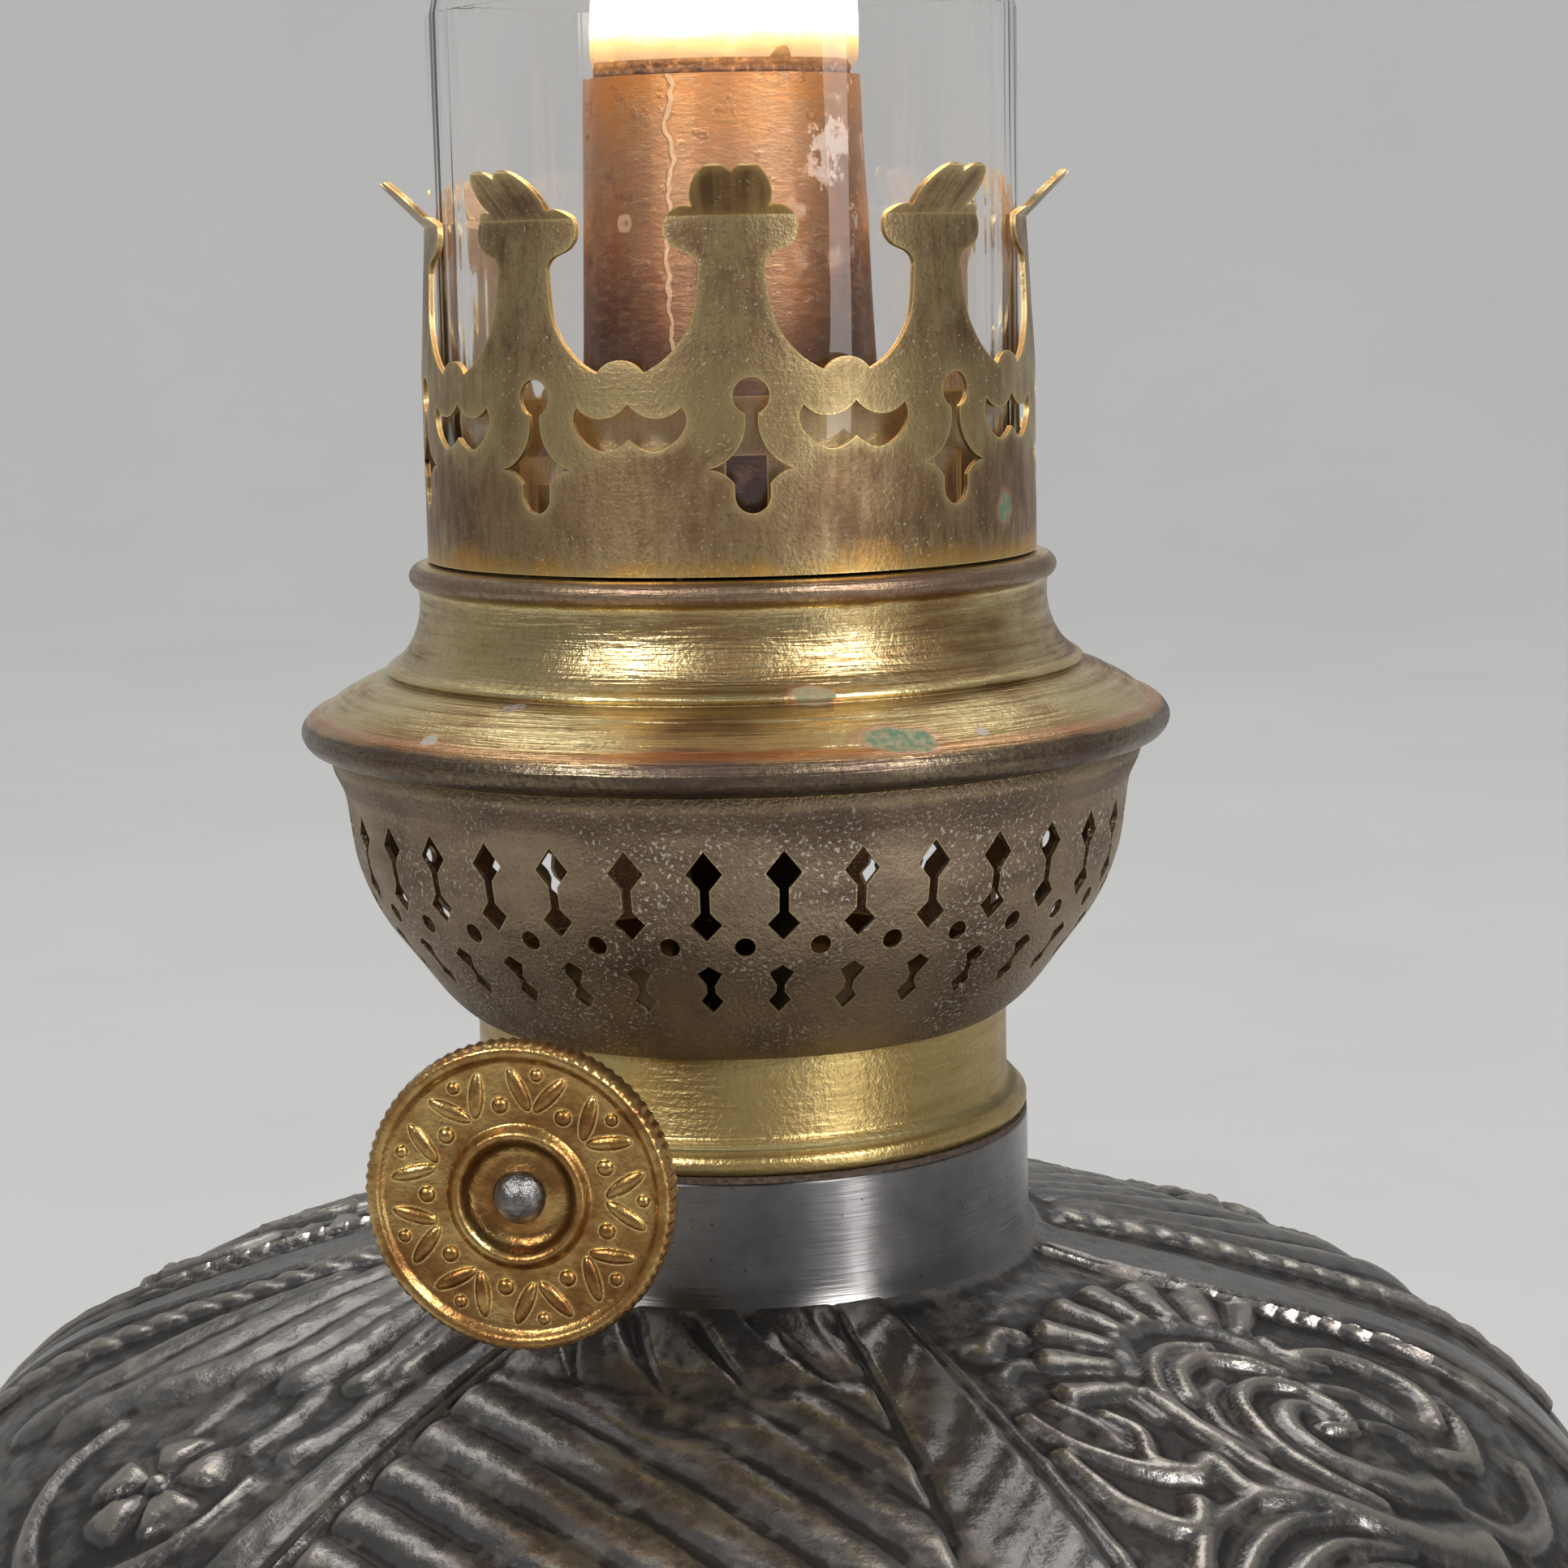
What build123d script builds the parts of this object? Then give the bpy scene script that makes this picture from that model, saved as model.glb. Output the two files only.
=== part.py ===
"""Table oil lamp: footed font, round-wick burner with side wheel, prong gallery and glass chimney.

Millimetres, +Z up. The origin is on the table, under the lamp's axis. The front of the lamp is -Y.
Outlines are (radius, height) points, turned about Z. Burner heights count from the collar's top edge.
"""
import os
from math import cos, pi, sin, sqrt

from build123d import *

# ---- overall heights, from the table up
foot_height = 38.0
stem_height = 24.0
font_height = 77.5
collar_height = 10.5
collar_top = foot_height + stem_height + font_height + collar_height

# ---- foot, stem and font (cast)
foot_radius = 70.0
foot_rim = 4.0
stem_radius = 20.0
stem_waist_radius = 14.5
font_radius = 83.0
font_belly_height = 40.0
cast_wall = 1.8
seam_band_height = 6.0
seam_band_wall = 1.2
rod_radius = 3.0
rod_hole_clearance = 0.15
washer_radius = 9.0
washer_thickness = 1.6
nut_across_flats = 11.0
nut_thickness = 5.0

# ---- burner seat
collar_radius = 25.95
collar_wall = 1.15
collar_depth = 12.0
thread_clearance = 0.15
thread_wall = 0.7
thread_depth = 7.0
seal_thickness = 0.5

# ---- burner body (sheet brass)
sheet = 0.5
band_step = 0.55
bead_height = 1.8
basket_bottom = 10.3
basket_height = 24.2
basket_radius = 35.25
basket_lip_step = 1.0
basket_columns = 34
column_phase = -4.76

# ---- wick, tubes and feed
tube_rim_radius = 11.9
tube_rim_height = 92.0
tube_taper = 0.06
tube_wall = 0.4
tube_round_height = 44.0
tube_flat_height = 14.0
tube_foot_height = -12.0
flat_half_length = 17.0
flat_half_thickness = 4.6
draught_radius = 8.9
draught_bottom = 40.0
inlet_half_width = 5.0
inlet_bottom = 41.0
inlet_top = 51.0
wick_clearance = 0.3
wick_thickness = 1.7
wick_above_rim = 1.2
wick_raise = 4.0
wick_lower = 8.0
wick_tail_depth = 62.0
feed_azimuth = -11.0
shaft_height = 5.0
shaft_radius = 1.5
shaft_clearance = 0.05
shaft_inner_end = -12.0
shaft_reach = 45.9
wheel_radius = 4.55
wheel_gap = 0.27
wheel_offset = 6.0
wheel_thickness = 1.0
wheel_teeth = 12
bearing_offset = 10.0
bearing_thickness = 0.8
bush_radius = 2.4
knob_radius = 12.4
knob_thickness = 2.8
knob_rim = 0.6
knob_serrations = 84

# ---- gallery
crown_sheet = 0.45
crown_lean = 0.7
crown_bottom = 51.3
crown_wall = 16.55
crown_bend = 29.0
crown_tip = 32.6
crown_flare = 3.4
prongs = 9
prong_phase = 0.85
keyhole_phase = 3.7
leaf_phase = 22.25
seat_ring_height = 14.1
seat_ring_clearance = 0.23
seat_windows = 8
seat_window_phase = 3.0
seat_window_width = 3.3
floor_hole_clearance = 4.65
dish_overhang = 2.7
dish_rest_gap = 0.35
skirt_clearance = 0.3
skirt_depth = 3.6

# ---- chimney
glass_wall = 1.6
glass_clearance = 0.22
glass_radius = 25.83
glass_rest_gap = 0.3
glass_pinch_height = 58.0
glass_pinch_radius = 17.6
glass_tube_radius = 18.8
glass_height = 263.0

pitch_angle = 360 / prongs
wheel_line = flat_half_thickness - tube_wall - wick_clearance + wheel_gap + wheel_radius
bore_radius = collar_radius - collar_wall
thread_radius = bore_radius - thread_clearance
band_radius = thread_radius - band_step
basket_lip_radius = basket_radius + basket_lip_step
basket_top = basket_bottom + basket_height
dish_radius = basket_lip_radius + dish_overhang
dish_bottom = basket_top + dish_rest_gap
crown_radius = glass_radius + glass_clearance + crown_lean + crown_sheet
seat_ring_radius = glass_radius - glass_wall - seat_ring_clearance
gallery_floor_top = crown_bottom + sheet
burner_place = Pos(0, 0, collar_top)
feed_place = burner_place * Rot(0, 0, -90 + feed_azimuth)


def turn(face):
    """Revolve an (r, z) face about the lamp's axis."""
    face = face.face()
    if face.normal_at().Z < 0:
        face = -face
    return revolve(Plane.XZ * face, axis=Axis.Z)


def turned(*points):
    """Solid of revolution from straight-sided (r, z) points."""
    return turn(make_face(Polyline(*points, close=True)))


def inner_line(edge, wall, samples):
    """The line that runs inside an outer line at the wall's thickness."""
    points = []
    for index in range(samples + 1):
        along = edge % (index / samples)
        points.append(edge @ (index / samples) + Vector(along.Y, -along.X) * wall)
    return Line(*points) if samples == 1 else Spline(*points)


def turned_sheet(wall, *edges):
    """Solid of revolution from smooth outer lines drawn from the top down, with the wall inside them."""
    inner = [inner_line(edge, wall, 1 if edge.geom_type == GeomType.LINE else 14) for edge in edges]
    outline = Curve() + [*edges, Line(edges[-1] @ 1, inner[-1] @ 1), *inner, Line(edges[0] @ 0, inner[0] @ 0)]
    return turn(make_face(outline))


def folded_sheet(wall, *points):
    """Solid of revolution from outer corners given from the top down, with mitred corners inside."""
    corners = [Vector(*point) for point in points]
    sides = [(end - start).normalized() for start, end in zip(corners, corners[1:])]
    normals = [Vector(side.Y, -side.X) for side in sides]
    inner = []
    for corner, before, after in zip(corners, [normals[0], *normals], [*normals, normals[-1]]):
        inner.append(corner + (before + after) * (wall / (1 + before.dot(after))))
    return turn(make_face(Polyline(*corners, *reversed(inner), close=True)))


def ring(outer, inner, bottom, top):
    return turned((inner, bottom), (outer, bottom), (outer, top), (inner, top))


def radial_prism(face, azimuth, start, end):
    """Extrude a face drawn in (across, height) outwards through a wall, at an azimuth from the front."""
    plane = Plane(origin=(0, -start, 0), x_dir=(1, 0, 0), z_dir=(0, -1, 0))
    return Rot(0, 0, azimuth) * extrude(plane * face, amount=end - start)


def mirrored_face(half):
    """Face bounded by a line drawn on the right of the axis and its mirror image."""
    return make_face(half + mirror(half, about=Plane.YZ))


parts = {}


# ================= foot, stem and font =================
def build_stand():
    stem_base = foot_height
    stem_top = foot_height + stem_height
    dome = Spline(
        (stem_radius, foot_height), (stem_radius + 4.5, foot_height - 7), (foot_radius * 0.52, foot_height * 0.6),
        (foot_radius * 0.77, foot_height * 0.38), (foot_radius - 6, foot_height * 0.2),
        (foot_radius - 1.2, foot_height * 0.12), (foot_radius, 2.2), (foot_radius, 0), tangents=((0.5, -1), (0, -1)))
    foot = turned_sheet(cast_wall, dome) + ring(foot_radius, foot_radius - foot_rim, 0, cast_wall)
    web_radius = stem_radius - cast_wall * 0.5
    rod_hole = rod_radius + rod_hole_clearance
    foot += ring(web_radius, rod_hole, foot_height - cast_wall, foot_height)
    parts["foot"] = foot

    half = stem_height / 2
    waist = Spline(
        (stem_radius, stem_top), (stem_waist_radius + 2.2, stem_top - half * 0.5), (stem_waist_radius, stem_base + half),
        (stem_waist_radius + 2.2, stem_base + half * 0.5), (stem_radius, stem_base))
    core = waist + Polyline((stem_radius, stem_base), (rod_hole, stem_base), (rod_hole, stem_top),
                            (stem_radius, stem_top))
    parts["stem"] = turn(make_face(core))

    nut_top = foot_height - cast_wall - washer_thickness
    parts["tie_washer"] = ring(washer_radius, rod_hole, nut_top, foot_height - cast_wall)
    nut = Pos(0, 0, nut_top - nut_thickness) * extrude(
        RegularPolygon(nut_across_flats / 2, 6, major_radius=False), amount=nut_thickness)
    parts["tie_nut"] = nut - Pos(0, 0, nut_top - nut_thickness) * Cylinder(
        rod_radius, nut_thickness, align=(Align.CENTER, Align.CENTER, Align.MIN))
    rod_bottom = nut_top - nut_thickness - 3
    boss_height = 7.0
    rod_top = stem_top + boss_height - 2
    parts["tie_rod"] = Pos(0, 0, rod_bottom) * Cylinder(
        rod_radius, rod_top - rod_bottom, align=(Align.CENTER, Align.CENTER, Align.MIN))

    belly = stem_top + font_belly_height
    lower = Spline(
        (font_radius, belly), (font_radius - 2.2, belly - font_belly_height * 0.22),
        (font_radius * 0.86, belly - font_belly_height * 0.5), (font_radius * 0.62, belly - font_belly_height * 0.78),
        (font_radius * 0.38, stem_top + 2.6), (stem_radius + 1, stem_top), tangents=((0, -1), (-1, -0.12)))
    bowl = turned_sheet(cast_wall, lower)
    bowl += ring(stem_radius + 1.5, rod_radius, stem_top, stem_top + cast_wall)
    boss = ring(rod_radius + 4, rod_radius, stem_top, stem_top + boss_height)
    plug = Pos(0, 0, rod_top) * Cylinder(
        rod_radius + 1, boss_height - 5 + 1, align=(Align.CENTER, Align.CENTER, Align.MIN))
    parts["font_bowl"] = bowl + boss + plug

    shoulder_top = collar_top - collar_height
    rise = shoulder_top - belly
    neck_radius = collar_radius + 0.02
    upper = Spline(
        (neck_radius, shoulder_top), (40, shoulder_top - rise * 0.093), (55, shoulder_top - rise * 0.213),
        (font_radius * 0.8, shoulder_top - rise * 0.341), (font_radius * 0.907, shoulder_top - rise * 0.547),
        (font_radius, belly), tangents=((1, -0.12), (0, -1)))
    parts["font_shoulder"] = turned_sheet(cast_wall, upper) - ring(
        neck_radius, 1, shoulder_top - 4, shoulder_top + 1)
    band_outer = font_radius + seam_band_wall
    parts["font_seam_band"] = ring(
        band_outer, font_radius, belly - seam_band_height / 2, belly + seam_band_height / 2)

    flange = neck_radius + 4
    collar_bottom = collar_top - collar_depth
    flange_top = shoulder_top - cast_wall - 1.6
    parts["font_collar"] = turned(
        (bore_radius, collar_bottom - 1.2), (flange, flange_top - 0.9), (flange, flange_top),
        (collar_radius, flange_top + 0.9), (collar_radius, collar_top), (bore_radius, collar_top))


# ================= burner body =================
def hole_outline(tip_top, wide_top, waist_top, waist_bottom, wide_bottom, tip_bottom, wide, waist):
    """Right half of a pierced slot: a diamond above, a narrow waist, and a half diamond below.

    Heights count from the basket's bottom edge.
    """
    corners = ((0, tip_top), (wide, wide_top), (waist, waist_top), (waist, waist_bottom),
               (wide * 0.9, wide_bottom), (0, tip_bottom))
    return Polyline(*[(across, basket_bottom + height) for across, height in corners])


def build_burner():
    parts["seal_washer"] = burner_place * ring(collar_radius - 0.05, thread_radius + 0.05, 0, seal_thickness)

    sleeve_top = seal_thickness + bead_height + 0.2
    bead_top = (collar_radius - 0.75, seal_thickness + bead_height)
    bead_side = (collar_radius - 0.02, seal_thickness + bead_height / 2)
    bead_bottom = (collar_radius - 0.75, seal_thickness)
    section = Polyline(
        (thread_radius, sleeve_top), (band_radius - sheet, sleeve_top), (band_radius - sheet, basket_bottom + 3.5),
        (band_radius, basket_bottom + 3.5), (band_radius, sleeve_top + 0.9), bead_top)
    section += ThreePointArc(bead_top, bead_side, bead_bottom)
    section += Polyline(bead_bottom, (thread_radius, seal_thickness), (thread_radius, sleeve_top))
    band = burner_place * turn(make_face(section))
    bush_hole = Rot(0, 90, 0) * Cylinder(bush_radius, 60, align=(Align.CENTER, Align.CENTER, Align.MIN))
    parts["burner_band"] = band - feed_place * Pos(0, -wheel_line, shaft_height) * bush_hole

    parts["thread_sleeve"] = burner_place * ring(
        thread_radius, thread_radius - thread_wall, -thread_depth, sleeve_top)

    floor = ring(band_radius - sheet, 1, basket_bottom, basket_bottom + sheet)
    floor -= Rot(0, 0, -90 + feed_azimuth) * Pos(0, 0, basket_bottom) * extrude(
        Ellipse(flat_half_length, flat_half_thickness), amount=sheet)
    parts["burner_floor"] = burner_place * floor

    swell = basket_radius - band_radius
    bowl = Spline(
        (basket_lip_radius, basket_top), (basket_lip_radius, basket_top - 1.5),
        (basket_radius + 0.3, basket_top - 3.0), (basket_radius, basket_top - 4.1),
        (basket_radius - swell * 0.06, basket_bottom + basket_height * 0.63),
        (basket_radius - swell * 0.148, basket_bottom + basket_height * 0.5),
        (basket_radius - swell * 0.3, basket_bottom + basket_height * 0.368),
        (basket_radius - swell * 0.49, basket_bottom + basket_height * 0.252),
        (band_radius + 1.7, basket_bottom + 1.2), (band_radius, basket_bottom))
    shell = turned_sheet(sheet, bowl) - ring(band_radius, 1, basket_bottom - 1, basket_bottom + 4)
    upper_slot = mirrored_face(hole_outline(19.75, 17.85, 16.5, 14.6, 13.55, 12.1, 1.5, 0.4))
    lower_slot = mirrored_face(hole_outline(9.85, 9.1, 7.9, 7.2, 6.35, 5.2, 1.05, 0.35))
    round_hole = Pos(0, basket_bottom + 11.55) * Circle(0.85)
    cutters = []
    for column in range(basket_columns):
        azimuth = column_phase + column * 360 / basket_columns
        cutters.append(radial_prism(upper_slot, azimuth, basket_radius * 0.8, basket_radius + 3))
        cutters.append(radial_prism(lower_slot, azimuth, basket_radius * 0.75, basket_radius + 3))
        cutters.append(radial_prism(round_hole, azimuth + 180 / basket_columns, basket_radius * 0.8, basket_radius + 3))
    parts["basket"] = burner_place * (shell - cutters)


# ================= wick tube, wick and feed =================
def flat_to_round(long_half, short_half, bottom, flat_top, round_bottom, radius):
    """Tube blank: an oval column, then a ruled change from the oval to a circle."""
    column = Pos(0, 0, bottom) * extrude(Ellipse(long_half, short_half), amount=flat_top - bottom)
    change = loft([Pos(0, 0, flat_top) * Ellipse(long_half, short_half), Pos(0, 0, round_bottom) * Circle(radius)],
                  ruled=True)
    return column + change


def cone(bottom_radius, top_radius, bottom, top):
    return loft([Pos(0, 0, bottom) * Circle(bottom_radius), Pos(0, 0, top) * Circle(top_radius)], ruled=True)


def tube_radius(height):
    return tube_rim_radius + (tube_rim_height - height) * tube_taper


def build_wick():
    outer = flat_to_round(flat_half_length, flat_half_thickness, tube_foot_height, tube_flat_height,
                          tube_round_height, tube_radius(tube_round_height))
    outer += cone(tube_radius(tube_round_height), tube_rim_radius, tube_round_height, tube_rim_height)
    inner = flat_to_round(flat_half_length - tube_wall, flat_half_thickness - tube_wall, tube_foot_height,
                          tube_flat_height, tube_round_height, tube_radius(tube_round_height) - tube_wall)
    inner += cone(tube_radius(tube_round_height) - tube_wall, tube_rim_radius - tube_wall, tube_round_height,
                  tube_rim_height)
    tube = outer - inner
    inlet_reach = tube_radius(tube_round_height) + 2
    inlet = Pos(0, inlet_reach / 2 + 3, (inlet_bottom + inlet_top) / 2) * Box(
        inlet_half_width * 2, inlet_reach - 3, inlet_top - inlet_bottom)
    tube -= inlet
    for side in (-1, 1):
        tube -= Pos(side * wheel_offset, -wheel_line, shaft_height) * Box(
            wheel_thickness + 0.8, wheel_radius * 2 + 0.6, wheel_radius * 2 - 1)
    parts["wick_tube"] = feed_place * tube

    height = tube_rim_height - draught_bottom
    middle = (tube_rim_height + draught_bottom) / 2
    draught = Pos(0, 0, middle) * (Cylinder(draught_radius, height) - Pos(0, 0, 0.4) * Cylinder(
        draught_radius - tube_wall, height))
    draught -= Pos(0, draught_radius, (inlet_bottom + inlet_top) / 2) * Box(
        inlet_half_width * 2, draught_radius * 2, inlet_top - inlet_bottom)
    parts["draught_tube"] = feed_place * draught

    duct_far = tube_radius(inlet_bottom) - 0.6
    duct_near = sqrt(draught_radius ** 2 - inlet_half_width ** 2) + 0.1
    duct_length = duct_far - duct_near
    duct_height = inlet_top - inlet_bottom
    duct_place = Pos(0, duct_near + duct_length / 2, (inlet_bottom + inlet_top) / 2)
    duct = duct_place * (Box(inlet_half_width * 2, duct_length, duct_height) - Box(
        inlet_half_width * 2 - 2 * tube_wall, duct_length, duct_height - 2 * tube_wall))
    duct -= Pos(0, 0, middle) * Cylinder(draught_radius, height)
    parts["draught_inlet"] = feed_place * duct

    wick_top = tube_rim_height + wick_above_rim
    neck_radius = tube_rim_radius - tube_wall - wick_clearance
    neck_height = tube_rim_height - wick_raise
    round_height = tube_round_height + wick_lower
    flat_height = tube_flat_height + wick_lower
    round_radius = tube_radius(round_height + wick_raise) - tube_wall - wick_clearance
    long_half = flat_half_length - tube_wall - wick_clearance - 1.1
    short_half = flat_half_thickness - tube_wall - wick_clearance

    def wick_blank(inset):
        blank = flat_to_round(long_half - inset, short_half - inset, -wick_tail_depth, flat_height,
                              round_height, round_radius - inset)
        blank += cone(round_radius - inset, neck_radius - inset, round_height, neck_height)
        return blank + Pos(0, 0, neck_height) * extrude(Circle(neck_radius - inset), amount=wick_top - neck_height)

    wick = wick_blank(0) - wick_blank(wick_thickness)
    slot_half = inlet_half_width + wick_clearance
    slot_top = inlet_top + wick_lower + wick_clearance
    wick -= Pos(0, 20, (slot_top - wick_tail_depth) / 2 - 1) * Box(
        slot_half * 2, 40, slot_top + wick_tail_depth + 2)
    wick -= Pos(0, 0, (draught_bottom + tube_round_height) / 2 + 10) * Cylinder(
        draught_radius + wick_clearance, tube_round_height - draught_bottom + 60 + 2 * wick_lower)
    parts["wick"] = feed_place * wick


def along_shaft(solid, start):
    """Lay a solid built up Z along the shaft, with its base at a distance from the burner's axis."""
    return feed_place * Pos(start, -wheel_line, shaft_height) * Rot(0, 90, 0) * solid


def rod(radius, length):
    return Cylinder(radius, length, align=(Align.CENTER, Align.CENTER, Align.MIN))


def build_feed():
    parts["feed_shaft"] = along_shaft(rod(shaft_radius, shaft_reach + 0.6 - shaft_inner_end), shaft_inner_end)
    for name, place in (("wick_wheel_front", wheel_offset), ("wick_wheel_back", -wheel_offset)):
        star = []
        for tooth in range(wheel_teeth):
            angle = tooth * 2 * pi / wheel_teeth
            half = pi / wheel_teeth
            star.append((wheel_radius * cos(angle), wheel_radius * sin(angle)))
            star.append((wheel_radius * 0.78 * cos(angle + half), wheel_radius * 0.78 * sin(angle + half)))
        blank = extrude(make_face(Polyline(*star, close=True)), amount=wheel_thickness)
        parts[name] = along_shaft(blank - rod(shaft_radius, wheel_thickness), place - wheel_thickness / 2)

    bore = shaft_radius + shaft_clearance
    plates = []
    for side in (-1, 1):
        near = -flat_half_thickness * sqrt(1 - (bearing_offset / flat_half_length) ** 2) - 0.02
        far = -wheel_line - bore - 1.6
        plate = Pos(side * bearing_offset, (near + far) / 2, shaft_height) * Box(
            bearing_thickness, near - far, 2 * bore + 4)
        plates.append(plate - Pos(side * bearing_offset, -wheel_line, shaft_height) * Rot(0, 90, 0) * Cylinder(bore, 4))
    parts["shaft_bearings"] = feed_place * Compound(children=[plates[0], plates[1]])

    wall_at_shaft = sqrt(band_radius ** 2 - wheel_line ** 2)
    bush = rod(bush_radius, 7) - rod(bore, 7)
    parts["shaft_bush"] = along_shaft(bush, wall_at_shaft - 3.5)

    # the knob is a pressed disc with a raised rim and a raised ring round its rivet
    half_tooth = pi / knob_serrations
    edge = []
    for tooth in range(knob_serrations):
        angle = tooth * 2 * half_tooth
        edge.append((knob_radius * cos(angle), knob_radius * sin(angle)))
        edge.append(((knob_radius - 0.3) * cos(angle + half_tooth), (knob_radius - 0.3) * sin(angle + half_tooth)))
    disc = extrude(make_face(Polyline(*edge, close=True)), amount=knob_thickness)
    disc -= Pos(0, 0, knob_thickness - knob_rim) * ring_blank(knob_radius - 1.4, 5.3, knob_rim)
    disc -= Pos(0, 0, knob_thickness - 1.1) * rod(4.5, 1.1)
    disc -= rod(shaft_radius, knob_thickness)
    parts["knob"] = along_shaft(disc, shaft_reach)
    head = turned((0.01, 0), (shaft_radius - 0.05, 0), (shaft_radius - 0.05, 1), (1.9, 1), (1.9, 1.5), (1.2, 2.2), (0.01, 2.4))
    parts["knob_rivet"] = along_shaft(head, shaft_reach + 0.7)


def ring_blank(outer, inner, height):
    return rod(outer, height) - rod(inner, height)


# ================= gallery and chimney =================
def in_crown(*points):
    """Points on the crown's outline, with heights counted from the crown's bottom edge."""
    return [(across, crown_bottom + height) for across, height in points]


def prong_outline():
    """Right half of a prong: a flared foot, a narrow neck, a T-shaped head and a bent lobe."""
    root = crown_wall - 1
    half = Polyline(*in_crown((0, root), (7.6, root), (7.45, crown_wall)))
    half += Spline(*in_crown((7.45, crown_wall), (5.65, 17.6), (4.4, 18.9), (3.4, 20.6), (2.9, 22.8), (2.66, 25.0)))
    half += Spline(*in_crown((2.66, 25.0), (3.5, 26.05), (4.6, 26.5), (5.4, 27.6), (5.2, 28.9), (3.1, 29.7)))
    return half + Spline(*in_crown((3.1, 29.7), (3.25, 31.1), (2.0, crown_tip + 0.2), (0, crown_tip - 0.3)))


def bump_outline():
    """Small round rise in the middle of each gap between two prongs."""
    root = crown_wall - 1
    sides = Polyline(*in_crown((2, crown_wall), (2, root), (-2, root), (-2, crown_wall)))
    return sides + ThreePointArc(*in_crown((-2, crown_wall), (0, crown_wall + 1.05), (2, crown_wall)))


def keyhole_outline():
    half = ThreePointArc(*in_crown((0, 16.1), (1.5, 14.6), (0.55, 13.2)))
    half += ThreePointArc(*in_crown((0.55, 13.2), (1.35, 10.15), (3.7, 8.7)))
    half += ThreePointArc(*in_crown((3.7, 8.7), (2.3, 8.3), (1.45, 7.5)))
    half += Line(*in_crown((1.45, 7.5), (1.45, 6.55)))
    return half + ThreePointArc(*in_crown((1.45, 6.55), (1.02, 5.53), (0, 5.1)))


def leaf_outline():
    half = Spline(*in_crown((0, 14.1), (0.9, 13.3), (2.6, 12.9), (4.5, 13.8)))
    return half + Spline(*in_crown((4.5, 13.8), (4.85, 12.5), (3.6, 10.8), (2.0, 10.2), (0.8, 10.6), (0, 11.2)))


def build_gallery():
    neck_inner = crown_radius - crown_sheet - 1
    shape = Spline(
        (neck_inner, crown_bottom - 0.3), (crown_radius, crown_bottom - 0.3),
        (crown_radius + 1.2, crown_bottom - 0.55), (crown_radius + 1.73, crown_bottom - 1.4),
        (crown_radius + 1.25, crown_bottom - 2.7), (crown_radius + 1.0, crown_bottom - 4.3),
        (crown_radius + 1.6, crown_bottom - 6.8), (crown_radius + 2.7, crown_bottom - 8.4),
        (dish_radius - 7.9, dish_bottom + 6.6), (dish_radius - 6.8, dish_bottom + 5.95),
        (dish_radius - 4.2, dish_bottom + 4.9), (dish_radius - 1.84, dish_bottom + 3.45),
        (dish_radius, dish_bottom + 1.75), (dish_radius - 0.5, dish_bottom + 0.45),
        (dish_radius - 1.6, dish_bottom), (basket_lip_radius - 0.4, dish_bottom))
    parts["gallery_dish"] = burner_place * turned_sheet(sheet, shape)

    skirt_radius = basket_radius - sheet - skirt_clearance
    skirt_top = dish_bottom + 4.45
    parts["gallery_skirt"] = burner_place * ring(
        skirt_radius, skirt_radius - sheet, basket_top - skirt_depth, skirt_top)

    parts["gallery_floor"] = burner_place * ring(
        crown_radius - crown_sheet, tube_radius(crown_bottom) + floor_hole_clearance, crown_bottom, gallery_floor_top)

    bend_radius = crown_radius - crown_lean
    shell = folded_sheet(
        crown_sheet, (bend_radius + crown_flare * 1.1, crown_bottom + crown_bend + crown_flare * 1.1),
        (bend_radius, crown_bottom + crown_bend), (crown_radius, crown_bottom + crown_wall),
        (crown_radius, crown_bottom))
    keep = ring(crown_radius + 6, crown_radius - 7, crown_bottom - 1, crown_bottom + crown_wall)
    prong = mirrored_face(prong_outline())
    bump = make_face(bump_outline())
    keyhole = mirrored_face(keyhole_outline())
    leaf = mirrored_face(leaf_outline())
    start = crown_radius - 7
    end = crown_radius + 6
    holes = []
    for index in range(prongs):
        azimuth = index * pitch_angle
        keep += radial_prism(prong, prong_phase + azimuth, start, end)
        keep += radial_prism(bump, prong_phase + azimuth + pitch_angle / 2, start, end)
        holes.append(radial_prism(keyhole, keyhole_phase + azimuth, start, end))
        holes.append(radial_prism(leaf, leaf_phase + azimuth, start, end))
    parts["crown"] = burner_place * ((shell & keep) - holes)

    seat = ring(seat_ring_radius, seat_ring_radius - 0.4, gallery_floor_top, gallery_floor_top + seat_ring_height)
    window = Pos(0, gallery_floor_top + seat_ring_height * 0.41) * Rectangle(seat_window_width, seat_ring_height * 0.5)
    windows = []
    for index in range(seat_windows):
        azimuth = seat_window_phase + index * 360 / seat_windows
        windows.append(radial_prism(window, azimuth, seat_ring_radius * 0.8, seat_ring_radius + 2))
    parts["seat_ring"] = burner_place * (seat - windows)


def build_chimney():
    bottom = gallery_floor_top + glass_rest_gap
    pinch = bottom + glass_pinch_height
    top = bottom + glass_height
    stack = Line((glass_tube_radius, top), (glass_tube_radius, pinch + 14))
    waist = Spline((glass_tube_radius, pinch + 14), (glass_pinch_radius, pinch), (glass_radius - 1.2, pinch - 8.2),
                   (glass_radius, pinch - 12), tangents=((0, -1), (0, -1)))
    straight = Line((glass_radius, pinch - 12), (glass_radius, bottom))
    parts["chimney"] = burner_place * turned_sheet(glass_wall, stack, waist, straight)


build_stand()
build_burner()
build_wick()
build_feed()
build_gallery()
build_chimney()

os.makedirs("parts", exist_ok=True)
for name, solid in parts.items():
    export_step(solid, f"parts/{name}.step")
    print(name, round(solid.volume, 1))
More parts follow.
